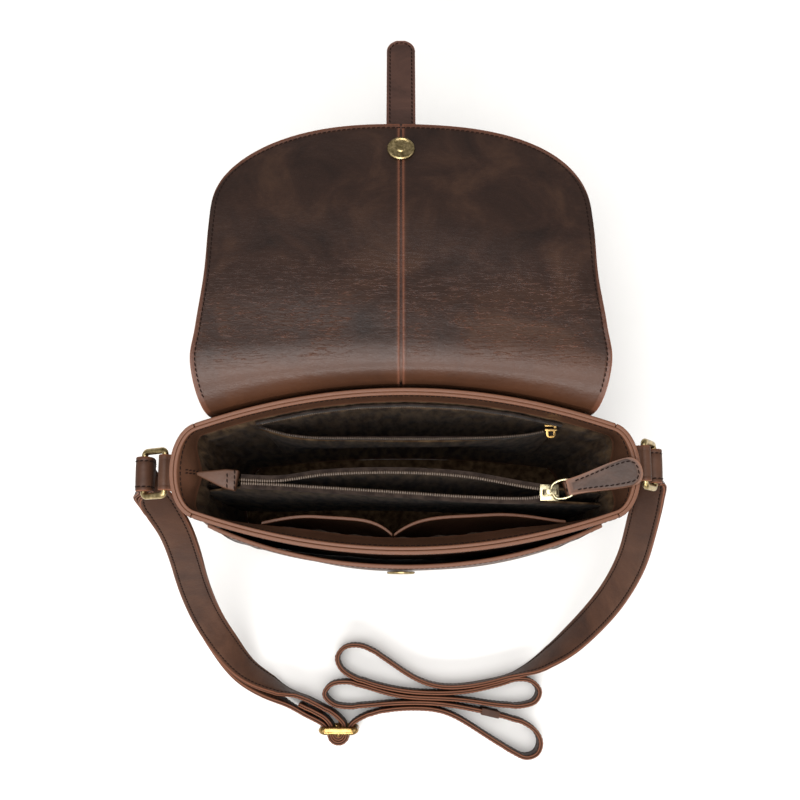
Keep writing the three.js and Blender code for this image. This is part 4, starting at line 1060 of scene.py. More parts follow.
def flap_creased(u, v):
    """Fine creases lie across the roll, just past the crest, and fade towards the free edge."""
    return smooth(0.21, 0.27, v) * (1 - smooth(0.36, 0.6, v))


def flap_layer(name, node, low, high, below, above, columns, material, slot, edges, folded=(), crowding=0):
    """One layer of the flap between two offsets and two shares across."""

    def face(offset):
        def place(u, v):
            across = np.sin(mix(low, high, u) * math.pi / 2)
            length = v * flap_length - v ** 3 * corner_cut(across, FLAP_CORNER, FLAP_CORNER_POWER)
            return flap_point(across, length, offset)

        return place

    leather_sheet(
        name, face(above), face(below), columns, FLAP_ROWS, material, edges=edges, folded=folded,
        replaced=(node,), slot=slot, bevel=0.45, wear_width=1.0, crowding=crowding,
        marks={"bent": flap_bent, "creased": flap_creased},
    )


half_gap = GAP / 2
flap_layer(
    "flap_outer_leather", "flap", -1, 1, -half_gap - FLAP_OUTER_MM, -half_gap, 160, FLAP_LEATHER,
    "flap_leather", ("left", "right", "end"),
)
flap_layer(
    "flap_facing_left_leather", "flap_facing_left", -1, -FLAP_SEAM, half_gap, half_gap + FLAP_FACING_MM, 96,
    FACING_LEATHER, "facing_leather", ("left", "end"), ("right",), crowding=0.6,
)
flap_layer(
    "flap_facing_right_leather", "flap_facing_right", FLAP_SEAM, 1, half_gap, half_gap + FLAP_FACING_MM, 96,
    FACING_LEATHER, "facing_leather", ("right", "end"), ("left",), crowding=0.6,
)


def tab_face(offset, inset=0.0):
    def place(u, v):
        across = np.sin(mix(-1, 1, u) * math.pi / 2)
        end = flap_length + TAB_OVERHANG - inset - corner_cut(across, TAB_WIDTH / 2 - inset, 2)
        length = mix(flap_length - TAB_SEAT, end, v)
        y, z, lined_y, lined_z = flap_profile(length)
        wave = flap_wave(0, np.minimum(length, flap_length))
        x = FLAP_SHIFT + across * (TAB_WIDTH / 2 - inset)
        return np.stack([x, y + lined_y * offset, z + wave + lined_z * offset], axis=-1)

    return place


print("flap, mm from its seam to its free edge:", round(float(flap_length)))
tab_top = -half_gap - FLAP_OUTER_MM - GAP
leather_sheet(
    "closing_tab_leather", tab_face(tab_top), tab_face(tab_top - TAB_MM), 32, 80, FLAP_LEATHER,
    replaced=("closing_tab",), slot="flap_leather", bevel=0.8, wear_width=1.5, crowding=0,
)

# %% [markdown]
# The zip compartment hangs between the gussets. Its two walls are soft lining, the zip's tapes lie on
# their tops, and a nylon coil runs along each tape's inner edge. The coil is a row of small rounded
# teeth here, because the turns of the real coil are less than a pixel apart.

# %% Zip compartment
ZIP_HEIGHT = BODY_HEIGHT - 12
ZIP_HALF_LENGTH = 90
ZIP_CENTRE_X = -4
ZIP_GAPE = 14
ZIP_STARTS = -0.97
ZIP_STOPS = 0.86
DIVIDER_MM = 1.2
DIVIDER_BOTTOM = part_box("divider_back")[0].z / MM
TAPE_WIDTH = 3.6
TAPE_MM = 0.9
TOOTH_PITCH = 1.3
ZIP_LINES = {
    "along": [-1, -0.75, -0.45, 0, 0.42, 0.8, 0.97],
    "back": [-0.2, -0.25, 0, 0.08, -0.08, -0.5, -0.66],
    "front": [-0.53, -0.6, -0.72, -0.9, -1.08, -1.15, -0.99],
}


def zip_line(along, side):
    """A tape's place at a share along the zip; the two tapes stand apart where the zip is open."""
    y = row_value(ZIP_LINES, "along", along, side) * ZIP_GAPE
    return ZIP_CENTRE_X + along * ZIP_HALF_LENGTH, y


def gusset_face(start, back, height):
    """Where the inner face of a gusset's lining stands, at a distance behind the middle."""
    shares = start + np.linspace(0, 1, 60) * GUSSET_SPAN
    inset = LINING_INSET + FACING_MM + looseness(shares[:, None], height[None])
    faces = wall_point(shares[:, None], height[None], inset)
    order = 1 if start == RIGHT_START else -1
    found = np.empty(height.shape)
    for k in range(height.size):
        found[k] = np.interp(back[k], faces[::order, k, 1], faces[::order, k, 0])
    return found


def divider_face(side, offset):
    sign = 1 if side == "back" else -1

    def place(u, v):
        height = mix(DIVIDER_BOTTOM, ZIP_HEIGHT, v)
        along = mix(ZIP_STARTS, ZIP_STOPS, u)
        top_x, top_y = zip_line(along, side)
        middle = (zip_line(along, "back")[1] + zip_line(along, "front")[1]) / 2
        closed = DIVIDER_MM / 2 + GAP / 2
        apart = mix(closed, np.abs(top_y - middle), smooth(0, 1.1, v))
        back = middle + sign * (apart + offset)
        low = gusset_face(LEFT_START, back.ravel(), height.ravel()).reshape(u.shape) + GAP * 1.5
        high = gusset_face(RIGHT_START, back.ravel(), height.ravel()).reshape(u.shape) - GAP * 1.5
        x = mix(mix(low, high, u), top_x, smooth(0.8, 1, v))
        return np.stack([x, back, height], axis=-1)

    return place


def ribbon_mesh(name, places, wide, section, wear=None):
    """A closed bar: a section of pairs across its width and thickness, carried along places."""
    places = np.asarray(places, float)
    ahead = np.gradient(places, axis=0)
    ahead = ahead / np.linalg.norm(ahead, axis=-1, keepdims=True)
    wide = wide - ahead * np.sum(wide * ahead, axis=-1, keepdims=True)
    wide = wide / np.linalg.norm(wide, axis=-1, keepdims=True)
    face = np.cross(wide, ahead)
    section = np.asarray(section, float)
    points = (
        places[:, None] + section[None, :, 0:1] * wide[:, None] + section[None, :, 1:2] * face[:, None]
    ).reshape(-1, 3)
    size = len(section)
    faces = []
    for k in range(len(places) - 1):
        for n in range(size):
            m = (n + 1) % size
            faces.append([k * size + n, k * size + m, (k + 1) * size + m, (k + 1) * size + n])
    faces.append(list(range(size))[::-1])
    faces.append([(len(places) - 1) * size + n for n in range(size)])
    marks = None if wear is None else {"wear": np.tile(wear, len(places))}
    return mesh_from(name, points, faces, marks), wide, face


for side in ("back", "front"):
    leather_sheet(
        f"divider_{side}_cloth", divider_face(side, DIVIDER_MM / 2), divider_face(side, -DIVIDER_MM / 2),
        64, 36, LINING, edges=(), replaced=(f"divider_{side}",), slot="lining", bevel=0.4,
    )
    along = np.linspace(-0.985, 0.93, 90)
    x, y = zip_line(along, side)
    tape_middle = np.stack([x, y, np.full(x.shape, ZIP_HEIGHT + GAP + TAPE_MM / 2)], axis=-1)
    flat = [(-TAPE_WIDTH / 2, -TAPE_MM / 2), (TAPE_WIDTH / 2, -TAPE_MM / 2)]
    flat += [(TAPE_WIDTH / 2, TAPE_MM / 2), (-TAPE_WIDTH / 2, TAPE_MM / 2)]
    across_tape = np.tile([0, 1, 0], (len(x), 1)).astype(float)
    mesh, _, _ = ribbon_mesh(f"zip_tape_{side}_cloth", tape_middle, across_tape, flat)
    finish_piece(
        f"zip_tape_{side}_cloth", mesh, TAPE, replaced=(f"zip_tape_{side}",), slot="zip_tape", bevel=0.2
    )
    inward = -1 if side == "back" else 1
    coil_path = tape_middle + [0, inward * (TAPE_WIDTH / 2 - 0.5), TAPE_MM / 2]
    teeth = row_of(capsule(1.9, 0.5), coil_path, (0, 0, 1), TOOTH_PITCH, lift=0.15, slant=math.pi / 2)
    joined_rows(f"zip_coil_{side}", [teeth], COIL, slot="zip_tape")

# %% [markdown]
# The strap is two strips of leather sewn back to back along both edges. Seen on its edge it is two pale
# turned edges with a dark line between them, and that is how most of it lies. So its section is not a
# rectangle: each side has a notch between two rounded lips, and each face has a pressed stitch line. A
# row of a run holds a place in millimetres and then the way that the strap's width points there.

# %% Strap section and routes
STRAP_WIDTH = 20
STRAP_MM = 2.8
ON_EDGE = STRAP_WIDTH / 2 + GAP
RING_WIRE = 3.8
RING_REACH = 17
RING_BAR_BELOW_RIM = 17.5
RING_BAR_OUT = 6.5
SLIDER_BAR = 2.8
SLIDER_EDGE = SLIDER_BAR + GAP * 1.5 + STRAP_WIDTH / 2
SLIDER_AT = (-47, -164)
OUTER_TURN = 6.6
INNER_TURN = 3.45
DOWN = (0, 0, -1)
STITCH_FROM_EDGE = 2.6
RIGHT_RUN = [
    (149.4, 3.5, 190, -0.25, 0.95, -0.05),
    (148.2, -6, 181, -0.6, 0.75, -0.2),
    (146.8, -23, 163, -0.82, 0.48, -0.36),
    (146.4, -46, 128, -0.78, 0.45, -0.42),
    (141.2, -65, 98, -0.72, 0.5, -0.5),
    (134.4, -79.1, 74, -0.65, 0.45, -0.6),
    (124.9, -92.4, 54, -0.55, 0.4, -0.72),
    (115.7, -103.4, 36, -0.45, 0.35, -0.82),
    (104.2, -113.1, 22, -0.3, 0.3, -0.9),
    (93.2, -120.5, 13, -0.2, 0.2, -0.96),
]
BUNDLE = [
    (79.3, -126.8), (61.1, -131.2), (44, -134), (26.9, -134.6), (13, -130.9), (-3.5, -121.2), (-20, -109.5),
    (-33, -104.6), (-43.5, -106), (-48.6, -112.8), (-46, -120.8), (-35.4, -127.9), (-15.1, -134.2),
    (3, -137.4), (26.9, -138.4), (45, -137.6), (66, -133.2), (82, -128.6), (93, -130), (98.8, -136.8),
    (95.5, -144.2), (84, -147.6), (68.8, -147), (45, -143.2), (26.9, -142.1), (3, -141.3), (-12, -138.9),
    (-26, -134.2), (-41, -130.6), (-53, -132.4), (-57.8, -139), (-51.5, -146), (-38.9, -148.2),
    (-20.9, -146.4), (3, -145), (26.9, -145.8),
]
BEFORE_SPLICE = (45, -148.6)
SPLICE = (62.5, -152.2)
AFTER_SPLICE = (75, -155.2)
SPLICE_HEIGHT = ON_EDGE + 1
LOWER_LOOP = [
    (86.6, -159.1), (95.5, -165.3), (98.8, -173), (96, -180.6), (88, -183.4), (77.6, -179),
    (56.3, -166.1), (38.4, -154.9), (26.9, -150.2), (8.8, -148.9), (-15.1, -150.4), (-28, -154.4),
]
LEFT_RUN = [
    (-98.5, -133.2, 19, 0.3, 0.3, -0.93),
    (-114.1, -122, 31, 0.5, 0.3, -0.8),
    (-126.2, -102.9, 48, 0.75, 0.25, -0.6),
    (-134.7, -82.4, 76, 0.88, 0.2, -0.42),
    (-138.7, -62.4, 106, 0.95, 0.1, -0.3),
    (-139.5, -40.3, 142, 0.98, 0, -0.2),
    (-143, -24, 165, 0.97, 0.25, -0.1),
    (-150, -12.5, 180, 0.8, 0.6, -0.05),
    (-153, -4, 190, 0.3, 0.95, 0),
]
LAYER_SPREAD = [3.2, 2.2, 1.75, 1.75, 1.75, 1.75, 1.8, 2, 2.8]
WRAP_RADIUS = RING_WIRE / 2 + GAP + STRAP_MM / 2


def ring_frame(sign, tilt, y, start):
    height = BODY_HEIGHT - RING_BAR_BELOW_RIM
    wall = abs(wall_point(start + GUSSET_SPAN / 2, height, 0)[0])
    bar = np.array([sign * (wall + GAP + RING_BAR_OUT), y, height])
    out = np.array([sign * math.cos(math.radians(tilt)), 0, -math.sin(math.radians(tilt))])
    return {"sign": sign, "bar": bar, "out": out, "outer": bar + out * RING_REACH}


ring_frames = {
    "left": ring_frame(-1, 35, 0.5, LEFT_START),
    "right": ring_frame(1, 60, 5.7, RIGHT_START),
}


def ring_turn(ring):
    rows = []
    for k in range(7):
        angle = math.pi * (1 - k / 6)
        x = ring["outer"][0] + ring["sign"] * math.cos(angle) * WRAP_RADIUS
        rows.append((x, ring["outer"][1], ring["outer"][2] + math.sin(angle) * WRAP_RADIUS, 0, 1, 0))
    return rows


def ring_lead(ring, side):
    x = ring["outer"][0] + ring["sign"] * side * (WRAP_RADIUS - GAP)
    return [(x, ring["outer"][1] - 0.3, ring["outer"][2] - 7.5, 0, 1, 0)]


def slider_turn(radius, entry, leave):
    rows = [(entry, 3.5)]
    for k in range(7):
        angle = math.pi * (1 + k / 6)
        rows.append((math.cos(angle) * radius, -2.5 + math.sin(angle) * radius))
    rows.append((leave, 3.5))
    return [(SLIDER_AT[0] + x, SLIDER_AT[1] + y, SLIDER_EDGE) + DOWN for x, y in rows]


def left_layer(side):
    rows = []
    for k, row in enumerate(LEFT_RUN):
        before = np.array(LEFT_RUN[max(k - 1, 0)][:3])
        after = np.array(LEFT_RUN[min(k + 1, len(LEFT_RUN) - 1)][:3])
        way = (before - after) / np.linalg.norm(before - after)
        face = np.cross(row[3:], way)
        face = face / np.linalg.norm(face)
        rows.append(tuple(np.array(row[:3]) + face * side * LAYER_SPREAD[k]) + row[3:])
    return rows


def on_edge(points, height):
    return [(x, y, height) + DOWN for x, y in points]


def strap_section():
    """Half of the section's corners, then the other half turned round: lips, notch and stitch lines."""
    half = STRAP_WIDTH / 2
    deep = STRAP_MM / 2
    top = [
        (half - 1.0, 0.08), (half - 0.15, 0.3), (half, 0.75), (half - 0.2, 1.15), (half - 0.7, deep),
        (half - 2.0, deep + 0.05), (half - 2.35, deep - 0.12), (half - STITCH_FROM_EDGE, deep - 0.2),
        (half - 2.85, deep - 0.12), (half - 3.2, deep + 0.03), (half - 6, deep + 0.1), (0, deep + 0.12),
    ]
    mirrored = [(-x, y) for x, y in top[-2::-1]]
    upper = top + mirrored
    return upper + [(-x, -y) for x, y in upper]


STRAP_SECTION = strap_section()
STRAP_WEAR = [
    0.0 if abs(y) < 0.35 else float(np.clip((abs(x) - (STRAP_WIDTH / 2 - 0.8)) / 0.5, 0, 1))
    for x, y in STRAP_SECTION
]


STRAP_STEP = 2.0
EASE_MM = 9


def eased(values, sigma):
    """Values along the strap, smoothed over a few millimetres, with the ends kept."""
    reach = int(3 * sigma / STRAP_STEP)
    window = np.exp(-0.5 * (np.arange(-reach, reach + 1) * STRAP_STEP / sigma) ** 2)
    padded = np.concatenate([
        2 * values[:1] - values[reach:0:-1],
        values,
        2 * values[-1:] - values[-2:-reach - 2:-1],
    ])
    columns = [np.convolve(padded[:, k], window / window.sum(), "valid") for k in range(values.shape[1])]
    return np.stack(columns, axis=-1)


def strap_route(rows):
    """Even steps along the route. The long runs are eased, and the tight turns keep their shape."""
    route = smooth_route([row[:3] for row in rows], 12)
    turning = smooth_route([row[3:] for row in rows], 12)
    length = running_length(route[:, None], 0)[:, 0]
    stops = np.linspace(0, length[-1], int(length[-1] / STRAP_STEP) + 1)
    places = np.stack([np.interp(stops, length, route[:, k]) for k in range(3)], axis=-1)
    wide = np.stack([np.interp(stops, length, turning[:, k]) for k in range(3)], axis=-1)
    ahead = np.gradient(places, stops, axis=0)
    curve = np.linalg.norm(np.gradient(ahead, stops, axis=0), axis=-1)
    near = int(EASE_MM * 1.5 / STRAP_STEP)
    tightest = np.array([curve[max(0, k - near):k + near + 1].max() for k in range(len(stops))])
    free = (1 - smooth(1 / 45, 1 / 18, tightest))[:, None]
    places = mix(places, eased(places, EASE_MM), free)
    wide = eased(wide, EASE_MM * 0.6)
    places[:, 2] = np.maximum(places[:, 2], ON_EDGE)
    return places, wide


def sewn_strap(name, node, rows):
    places, wide = strap_route(rows)
    mesh, wide, face = ribbon_mesh(name, places, wide, STRAP_SECTION, STRAP_WEAR)
    finish_piece(name, mesh, STRAP_LEATHER, replaced=(node,), slot="strap_leather")
    lines = []
    for edge in (-1, 1):
        for side in (-1, 1):
            offset = wide * edge * (STRAP_WIDTH / 2 - STITCH_FROM_EDGE)
            offset = offset + face * side * (STRAP_MM / 2 - 0.12)
            lines.append(stitch_row(places + offset, face * side))
    joined_rows(name + "_stitches", lines, THREAD, slot="strap_leather")
    print(name, "length, mm:", round(float(running_length(places[:, None], 0)[-1, 0])))


# %% [markdown]
# The strap is two lengths joined by a splice. The long one starts as a tail under the right ring, turns
# over it, runs down to the board and lies there in folds. The adjusting one leaves the splice, passes the
# slider, climbs to the left ring and comes back beside itself to be sewn round the slider's post.

# %% Both lengths of the strap
right = ring_frames["right"]
left = ring_frames["left"]
tail = [(right["outer"][0] - 2.2, right["outer"][1] - 1, right["outer"][2] - 16, -0.05, 0.99, 0)]
splice_end = on_edge([BEFORE_SPLICE, (SPLICE[0] - GAP, SPLICE[1] + GAP * 0.2)], SPLICE_HEIGHT)
sewn_strap(
    "strap_long_leather", "strap_long",
    tail + ring_lead(right, -1) + ring_turn(right) + ring_lead(right, 1) + RIGHT_RUN
    + on_edge(BUNDLE, ON_EDGE) + splice_end,
)
lower_layer = on_edge([(-61.5, -157.9), (-72.6, -152.6), (-85.3, -146)], SLIDER_EDGE)
upper_layer = on_edge(
    [(-82, -138.6), (-72.6, -141.9), (-63, -145.6), (-53.5, -150.7), (-46.6, -155.9)], SLIDER_EDGE
)
sewn_tail = on_edge([(-56.5, -155.9), (-66.5, -150.3), (-76, -146)], SLIDER_EDGE)
sewn_strap(
    "strap_adjusting_leather", "strap_adjusting",
    on_edge([(SPLICE[0] + GAP, SPLICE[1] - GAP * 0.2), AFTER_SPLICE], SPLICE_HEIGHT)
    + on_edge(LOWER_LOOP, ON_EDGE)
    + slider_turn(OUTER_TURN, -10.5, 9)[::-1]
    + lower_layer
    + left_layer(1)
    + ring_lead(left, 1)
    + ring_turn(left)[::-1]
    + ring_lead(left, -1)
    + left_layer(-1)[::-1]
    + upper_layer
    + slider_turn(INNER_TURN, -5.7, 4)[::-1]
    + sewn_tail,
)

# %% [markdown]
# The metal is cast and bent brass. A casting has no sharp corner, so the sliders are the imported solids
# with a small round on every edge. The wires are swept with many sides, and the snap is turned: its
# profile is drawn once and spun.

# %% Rings, sliders, snap and pull wire


def round_tube(name, points, radius, plane, material, node, slot, sides=20, flatness=1.0):
    """A closed round wire along a loop of points that lies in a plane with that normal.

    With flatness above 1, the runs along X are that much wider than they are thick, as a cast bar is.
    """
    points = np.asarray(points, float)
    ahead = np.roll(points, -1, axis=0) - np.roll(points, 1, axis=0)
    ahead = ahead / np.linalg.norm(ahead, axis=-1, keepdims=True)
    out = np.cross(ahead, plane)
    angles = np.arange(sides) * 2 * math.pi / sides
    broad = (1 + (flatness - 1) * np.abs(ahead[:, 0]))[:, None, None]
    ring = np.cos(angles)[None, :, None] * out[:, None]
    ring = ring + np.sin(angles)[None, :, None] * np.asarray(plane) * broad
    places = (points[:, None] + radius * ring).reshape(-1, 3)
    count = len(points)
    faces = []
    for k in range(count):
        for n in range(sides):
            m = (n + 1) % sides
            after = (k + 1) % count
            faces.append([k * sides + n, k * sides + m, after * sides + m, after * sides + n])
    mesh = mesh_from(name, places, faces)
    return finish_piece(name, mesh, material, replaced=(node,) if node else (), slot=slot)


def rounded_loop(half_width, reach, corner, steps=8):
    """A rectangle with round corners, from the bar at 0 to its far side at reach."""
    loop = []
    for quarter, (x, y) in enumerate(((1, 0), (1, 1), (-1, 1), (-1, 0))):
        centre = (x * (half_width - corner), corner if y == 0 else reach - corner)
        for k in range(steps + 1):
            angle = -math.pi / 2 + (quarter + k / steps) * math.pi / 2
            loop.append((centre[0] + math.cos(angle) * corner, centre[1] + math.sin(angle) * corner))
    return loop


RING_CORNER = 2.6
for side, ring in ring_frames.items():
    half = STRAP_WIDTH / 2 + 1 + RING_WIRE / 2
    loop = [
        ring["bar"] + ring["out"] * reach + np.array([0, y, 0])
        for y, reach in rounded_loop(half, RING_REACH, RING_CORNER)
    ]
    plane = np.cross(ring["out"], (0, 1, 0))
    round_tube(
        f"ring_{side}_brass", loop, RING_WIRE / 2, plane, ANTIQUE_BRASS, f"ring_{side}", "antique_brass"
    )


def softened_copy(name, node, material, slot, bevel, smooth_angle=35):
    """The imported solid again, with its flat facets merged and every edge rounded."""
    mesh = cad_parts[node].data.copy()
    mesh.name = name
    mesh.materials.clear()
    work = bmesh.new()
    work.from_mesh(mesh)
    bmesh.ops.remove_doubles(work, verts=work.verts, dist=0.02 * MM)
    bmesh.ops.dissolve_limit(work, angle_limit=math.radians(4), verts=work.verts, edges=work.edges)
    work.to_mesh(mesh)
    work.free()
    return finish_piece(
        name, mesh, material, replaced=(node,), slot=slot, bevel=bevel, smooth_angle=smooth_angle
    )


SLIDER_LENGTH = 29
SLIDER_CORNER = 4.2
SLIDER_FLATNESS = 2.1
slider_half = SLIDER_LENGTH / 2 - SLIDER_BAR / 2
slider_tall = STRAP_WIDTH + GAP * 3 + SLIDER_BAR
slider_foot = np.array([*SLIDER_AT, SLIDER_BAR / 2])
slider_loop = [
    slider_foot + np.array([x, 0, z]) for x, z in rounded_loop(slider_half, slider_tall, SLIDER_CORNER)
]
round_tube(
    "strap_slider_brass", slider_loop, SLIDER_BAR / 2, (0, 1, 0), BRIGHT_BRASS, "strap_slider",
    "bright_brass", flatness=SLIDER_FLATNESS,
)
KNUCKLE_LIFT = 1.8
KNUCKLE_DEEP = 3.5
KNUCKLE_TALL = 1.9
KNUCKLE_WIRE = 1.2
POST_RADIUS = 1.8
for name, height in (("low", KNUCKLE_LIFT), ("high", slider_tall - KNUCKLE_LIFT)):
    hub = slider_foot + np.array([0, 0, height])
    knuckle = [
        hub + np.array([0, math.cos(a) * KNUCKLE_DEEP, math.sin(a) * KNUCKLE_TALL])
        for a in np.linspace(0, 2 * math.pi, 33)[:-1]
    ]
    round_tube(
        f"slider_knuckle_{name}_brass", knuckle, KNUCKLE_WIRE, (1, 0, 0), BRIGHT_BRASS, None, "bright_brass",
        sides=12,
    )
post = [slider_foot + np.array([0, 0, z]) for z in np.linspace(0, slider_tall, 12)]
post_round = [
    (math.cos(a) * POST_RADIUS, math.sin(a) * POST_RADIUS) for a in np.linspace(0, 2 * math.pi, 25)[:-1]
]
post_mesh, _, _ = ribbon_mesh("slider_post_brass", post, np.tile([1.0, 0, 0], (12, 1)), post_round)
finish_piece("slider_post_brass", post_mesh, BRIGHT_BRASS, slot="bright_brass")
softened_copy("zip_slider_brass", "zip_slider", WORN_BRASS, "antique_brass", 0.25)
softened_copy("back_zip_slider_brass", "back_zip_slider", BRIGHT_BRASS, "bright_brass", 0.2)

print("strap slider, mm:", SLIDER_LENGTH, "long and", round(slider_tall + SLIDER_BAR, 1), "high")

SNAP_PROFILE = [
    (0, 0), (0.9, 0), (0.97, 0.02), (1, 0.08), (0.97, 0.14), (0.92, 0.18), (0.87, 0.19), (0.82, 0.17),
    (0.78, 0.13), (0.6, 0.12), (0.4, 0.13), (0.33, 0.14), (0.3, 0.18), (0.26, 0.195), (0.2, 0.2),
    (0.12, 0.18), (0, 0.17),
]


def turned_snap(name, node, radius, centre, axis, sides=56):
    """The snap's profile spun round an axis through its centre."""
    axis = np.array(axis) / np.linalg.norm(axis)
    side = np.cross(axis, (1, 0, 0))
    side = side / np.linalg.norm(side)
    other = np.cross(axis, side)
    angles = np.arange(sides) * 2 * math.pi / sides
    spokes = np.cos(angles)[:, None] * side + np.sin(angles)[:, None] * other
    places = [centre + axis * SNAP_PROFILE[0][1] * radius]
    for out, up in SNAP_PROFILE[1:-1]:
        places += list(centre + axis * up * radius + spokes * out * radius)
    places.append(centre + axis * SNAP_PROFILE[-1][1] * radius)
    faces = []
    for n in range(sides):
        m = (n + 1) % sides
        faces.append([0, 1 + m, 1 + n])
        for k in range(len(SNAP_PROFILE) - 3):
            a = 1 + k * sides
            faces.append([a + n, a + m, a + sides + m, a + sides + n])
        a = 1 + (len(SNAP_PROFILE) - 3) * sides
        faces.append([a + n, a + m, len(places) - 1])
    mesh = mesh_from(name, np.array(places), faces)
    return finish_piece(name, mesh, ANTIQUE_BRASS, replaced=(node,), slot="antique_brass")


SNAP_RADIUS = 8.3
SNAP_FROM_EDGE = 19
SOCKET_BELOW_RIM = 46
snap_length = flap_length - SNAP_FROM_EDGE
snap_y, snap_z, snap_lined_y, snap_lined_z = flap_profile(snap_length)
snap_axis = np.array([0, snap_lined_y, snap_lined_z])
snap_foot = np.array([FLAP_SHIFT, snap_y, snap_z + flap_wave(0, snap_length)])
snap_foot = snap_foot + snap_axis * (half_gap + FLAP_FACING_MM + GAP)
turned_snap("snap_disc_brass", "snap_disc", SNAP_RADIUS, snap_foot, snap_axis)
socket_height = BODY_HEIGHT - SOCKET_BELOW_RIM
socket_share = panel_share(FRONT_START, FLAP_SHIFT, socket_height)
socket_foot = wall_point(
    socket_share, socket_height, -(GAP * 2 + LEATHER_MM + POCKET_GAPE * pocket_full(socket_height) + 0.35)
)
turned_snap("snap_socket_brass", "snap_socket", SNAP_RADIUS, socket_foot, (0, -1, 0))

# %% [markdown]
# The zip's pull is a strip of leather on a brass wire. It widens towards its round end and is stitched
# all round. Each ring hangs in a tab: a strip folded over the ring's bar and sewn to the gusset, so it is
# drawn as one strip along its folded side view. The zip's leather ends and the splice sleeve are close to
# their solids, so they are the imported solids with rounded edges.

# %% Zip pull and small leather
WIRE_MM = 1.7
WIRE_LENGTH = 12
PULL_MM = 3.2
PULL_BOW = 0.8
PULL_OVER_WIRE = 2.4
PULL_ROOT_HALF = 4.6
PULL_END_HALF = 7.9
PULL_END_ROUND = 7.4
pull_from = np.array([81.9, -11.6, ZIP_HEIGHT + 4.2])
pull_to = np.array([131, 0.4, BODY_HEIGHT + 3.6])
pull_length = np.linalg.norm(pull_to - pull_from)
pull_along = (pull_to - pull_from) / pull_length
pull_wide = np.array([0, 1, 0]) - pull_along * pull_along[1]
pull_wide = pull_wide / np.linalg.norm(pull_wide)
pull_up = np.cross(pull_along, pull_wide)

wire_outline = [(0, 0), (1.6, 3.6), (5, 5), (WIRE_LENGTH - 1.5, 4.6), (WIRE_LENGTH, 3.2)]
wire_corners = wire_outline + [(a, -w) for a, w in wire_outline[:0:-1]]
wire_closed = np.array([pull_from + pull_along * a + pull_wide * w for a, w in wire_corners])
wire_padded = np.concatenate([wire_closed[-2:], wire_closed, wire_closed[:3]])
wire_loop = smooth_route(wire_padded, 8)[16:-16]
round_tube(
    "pull_wire_brass", wire_loop[:-8], WIRE_MM / 2, pull_up, WORN_BRASS, "pull_wire", "antique_brass", 14
)


def pull_bend(along):
    """How far the pull bows up between its wire and its tip."""
    return PULL_BOW * np.sin(np.clip((along - 10) / (pull_length - 10), 0, 1) * math.pi)


def pull_outline(u, v, inset=0.0):
    """Places on the pull laid flat: along it, and across it as it widens to its round end."""
    near = WIRE_LENGTH - PULL_OVER_WIRE
    across = np.sin(mix(-1, 1, u) * math.pi / 2)
    end = pull_length - inset - corner_cut(across, PULL_END_ROUND - inset, 2.2)
    along = mix(near + inset, end, v)
    half = mix(PULL_ROOT_HALF, PULL_END_HALF, smooth(near, pull_length - 8, along)) - inset
    return along, across * half


def pull_face(offset):
    def place(u, v):
        along, wide = pull_outline(u, v)
        return (
            pull_from + along[..., None] * pull_along + wide[..., None] * pull_wide
            + (offset + pull_bend(along))[..., None] * pull_up
        )

    return place


leather_sheet(
    "pull_tab_leather", pull_face(PULL_MM / 2), pull_face(-PULL_MM / 2), 40, 60, PULL_LEATHER,
    replaced=("pull_tab",), slot="strap_leather", bevel=0.9, wear_width=1.6,
)

TAB_PLY_MM = 1.5
TAB_BELOW_BAR = 26


def folded_tab(side, ring):
    """A strip folded over the ring's bar: up along the wall, over the bar and down in front of itself."""
    sign = ring["sign"]
    wall = abs(ring["bar"][0]) - RING_BAR_OUT
    radius = RING_WIRE / 2 + GAP + TAB_PLY_MM / 2
    inner = TAB_PLY_MM / 2
    outer = inner + TAB_PLY_MM + 0.1
    profile = [(inner, -TAB_BELOW_BAR), (inner, -14), (inner, -4), (inner + 0.6, 0.5)]
    over_bar = np.linspace(2.3, -1.9, 9)
    profile += [(RING_BAR_OUT + math.cos(a) * radius, math.sin(a) * radius) for a in over_bar]
    profile += [(outer + 0.2, -7.5), (outer, -12), (outer, -TAB_BELOW_BAR)]
    rows = [(sign * (wall + x), ring["bar"][1], ring["bar"][2] + z) for x, z in profile]
    places = smooth_route(rows, 5)
    wide = np.tile([0.0, 1.0, 0.0], (len(places), 1))
    section = [(x * (STRAP_WIDTH + 0.4) / STRAP_WIDTH, y * TAB_PLY_MM / STRAP_MM) for x, y in STRAP_SECTION]
    mesh, wide, face = ribbon_mesh(f"ring_tab_{side}_leather", places, wide, section, STRAP_WEAR)
    finish_piece(
        f"ring_tab_{side}_leather", mesh, STRAP_LEATHER, replaced=(f"ring_tab_{side}",),
        slot="strap_leather",
    )
    front = places[np.argmax(places[:, 0] * sign):]
    outward = np.tile([sign, 0.0, 0.0], (len(front), 1))
    lines = []
    for edge in (-1, 1):
        offset = [sign * (TAB_PLY_MM / 2 - 0.05), edge * (STRAP_WIDTH / 2 - STITCH_FROM_EDGE), 0]
        lines.append(stitch_row(front + offset, outward))
    joined_rows(f"ring_tab_{side}_stitches", lines, THREAD, slot="strap_leather")


for side, ring in ring_frames.items():
    folded_tab(side, ring)
    softened_copy(f"zip_end_{side}_leather", f"zip_end_{side}", BODY_LEATHER, "pocket_leather", 1.2, 20)
softened_copy("strap_splice_leather", "strap_splice", STRAP_LEATHER, "strap_leather", 0.3)
softened_copy("base_panel_leather", "base_panel", BODY_LEATHER, "body_leather", 0.4)
softened_copy("lining_base_cloth", "lining_base", LINING, "lining", 0.2)
softened_copy("back_zip_lower_cloth", "back_zip_lower", TAPE, "zip_tape", 0.2)
softened_copy("back_zip_upper_cloth", "back_zip_upper", TAPE, "zip_tape", 0.2)

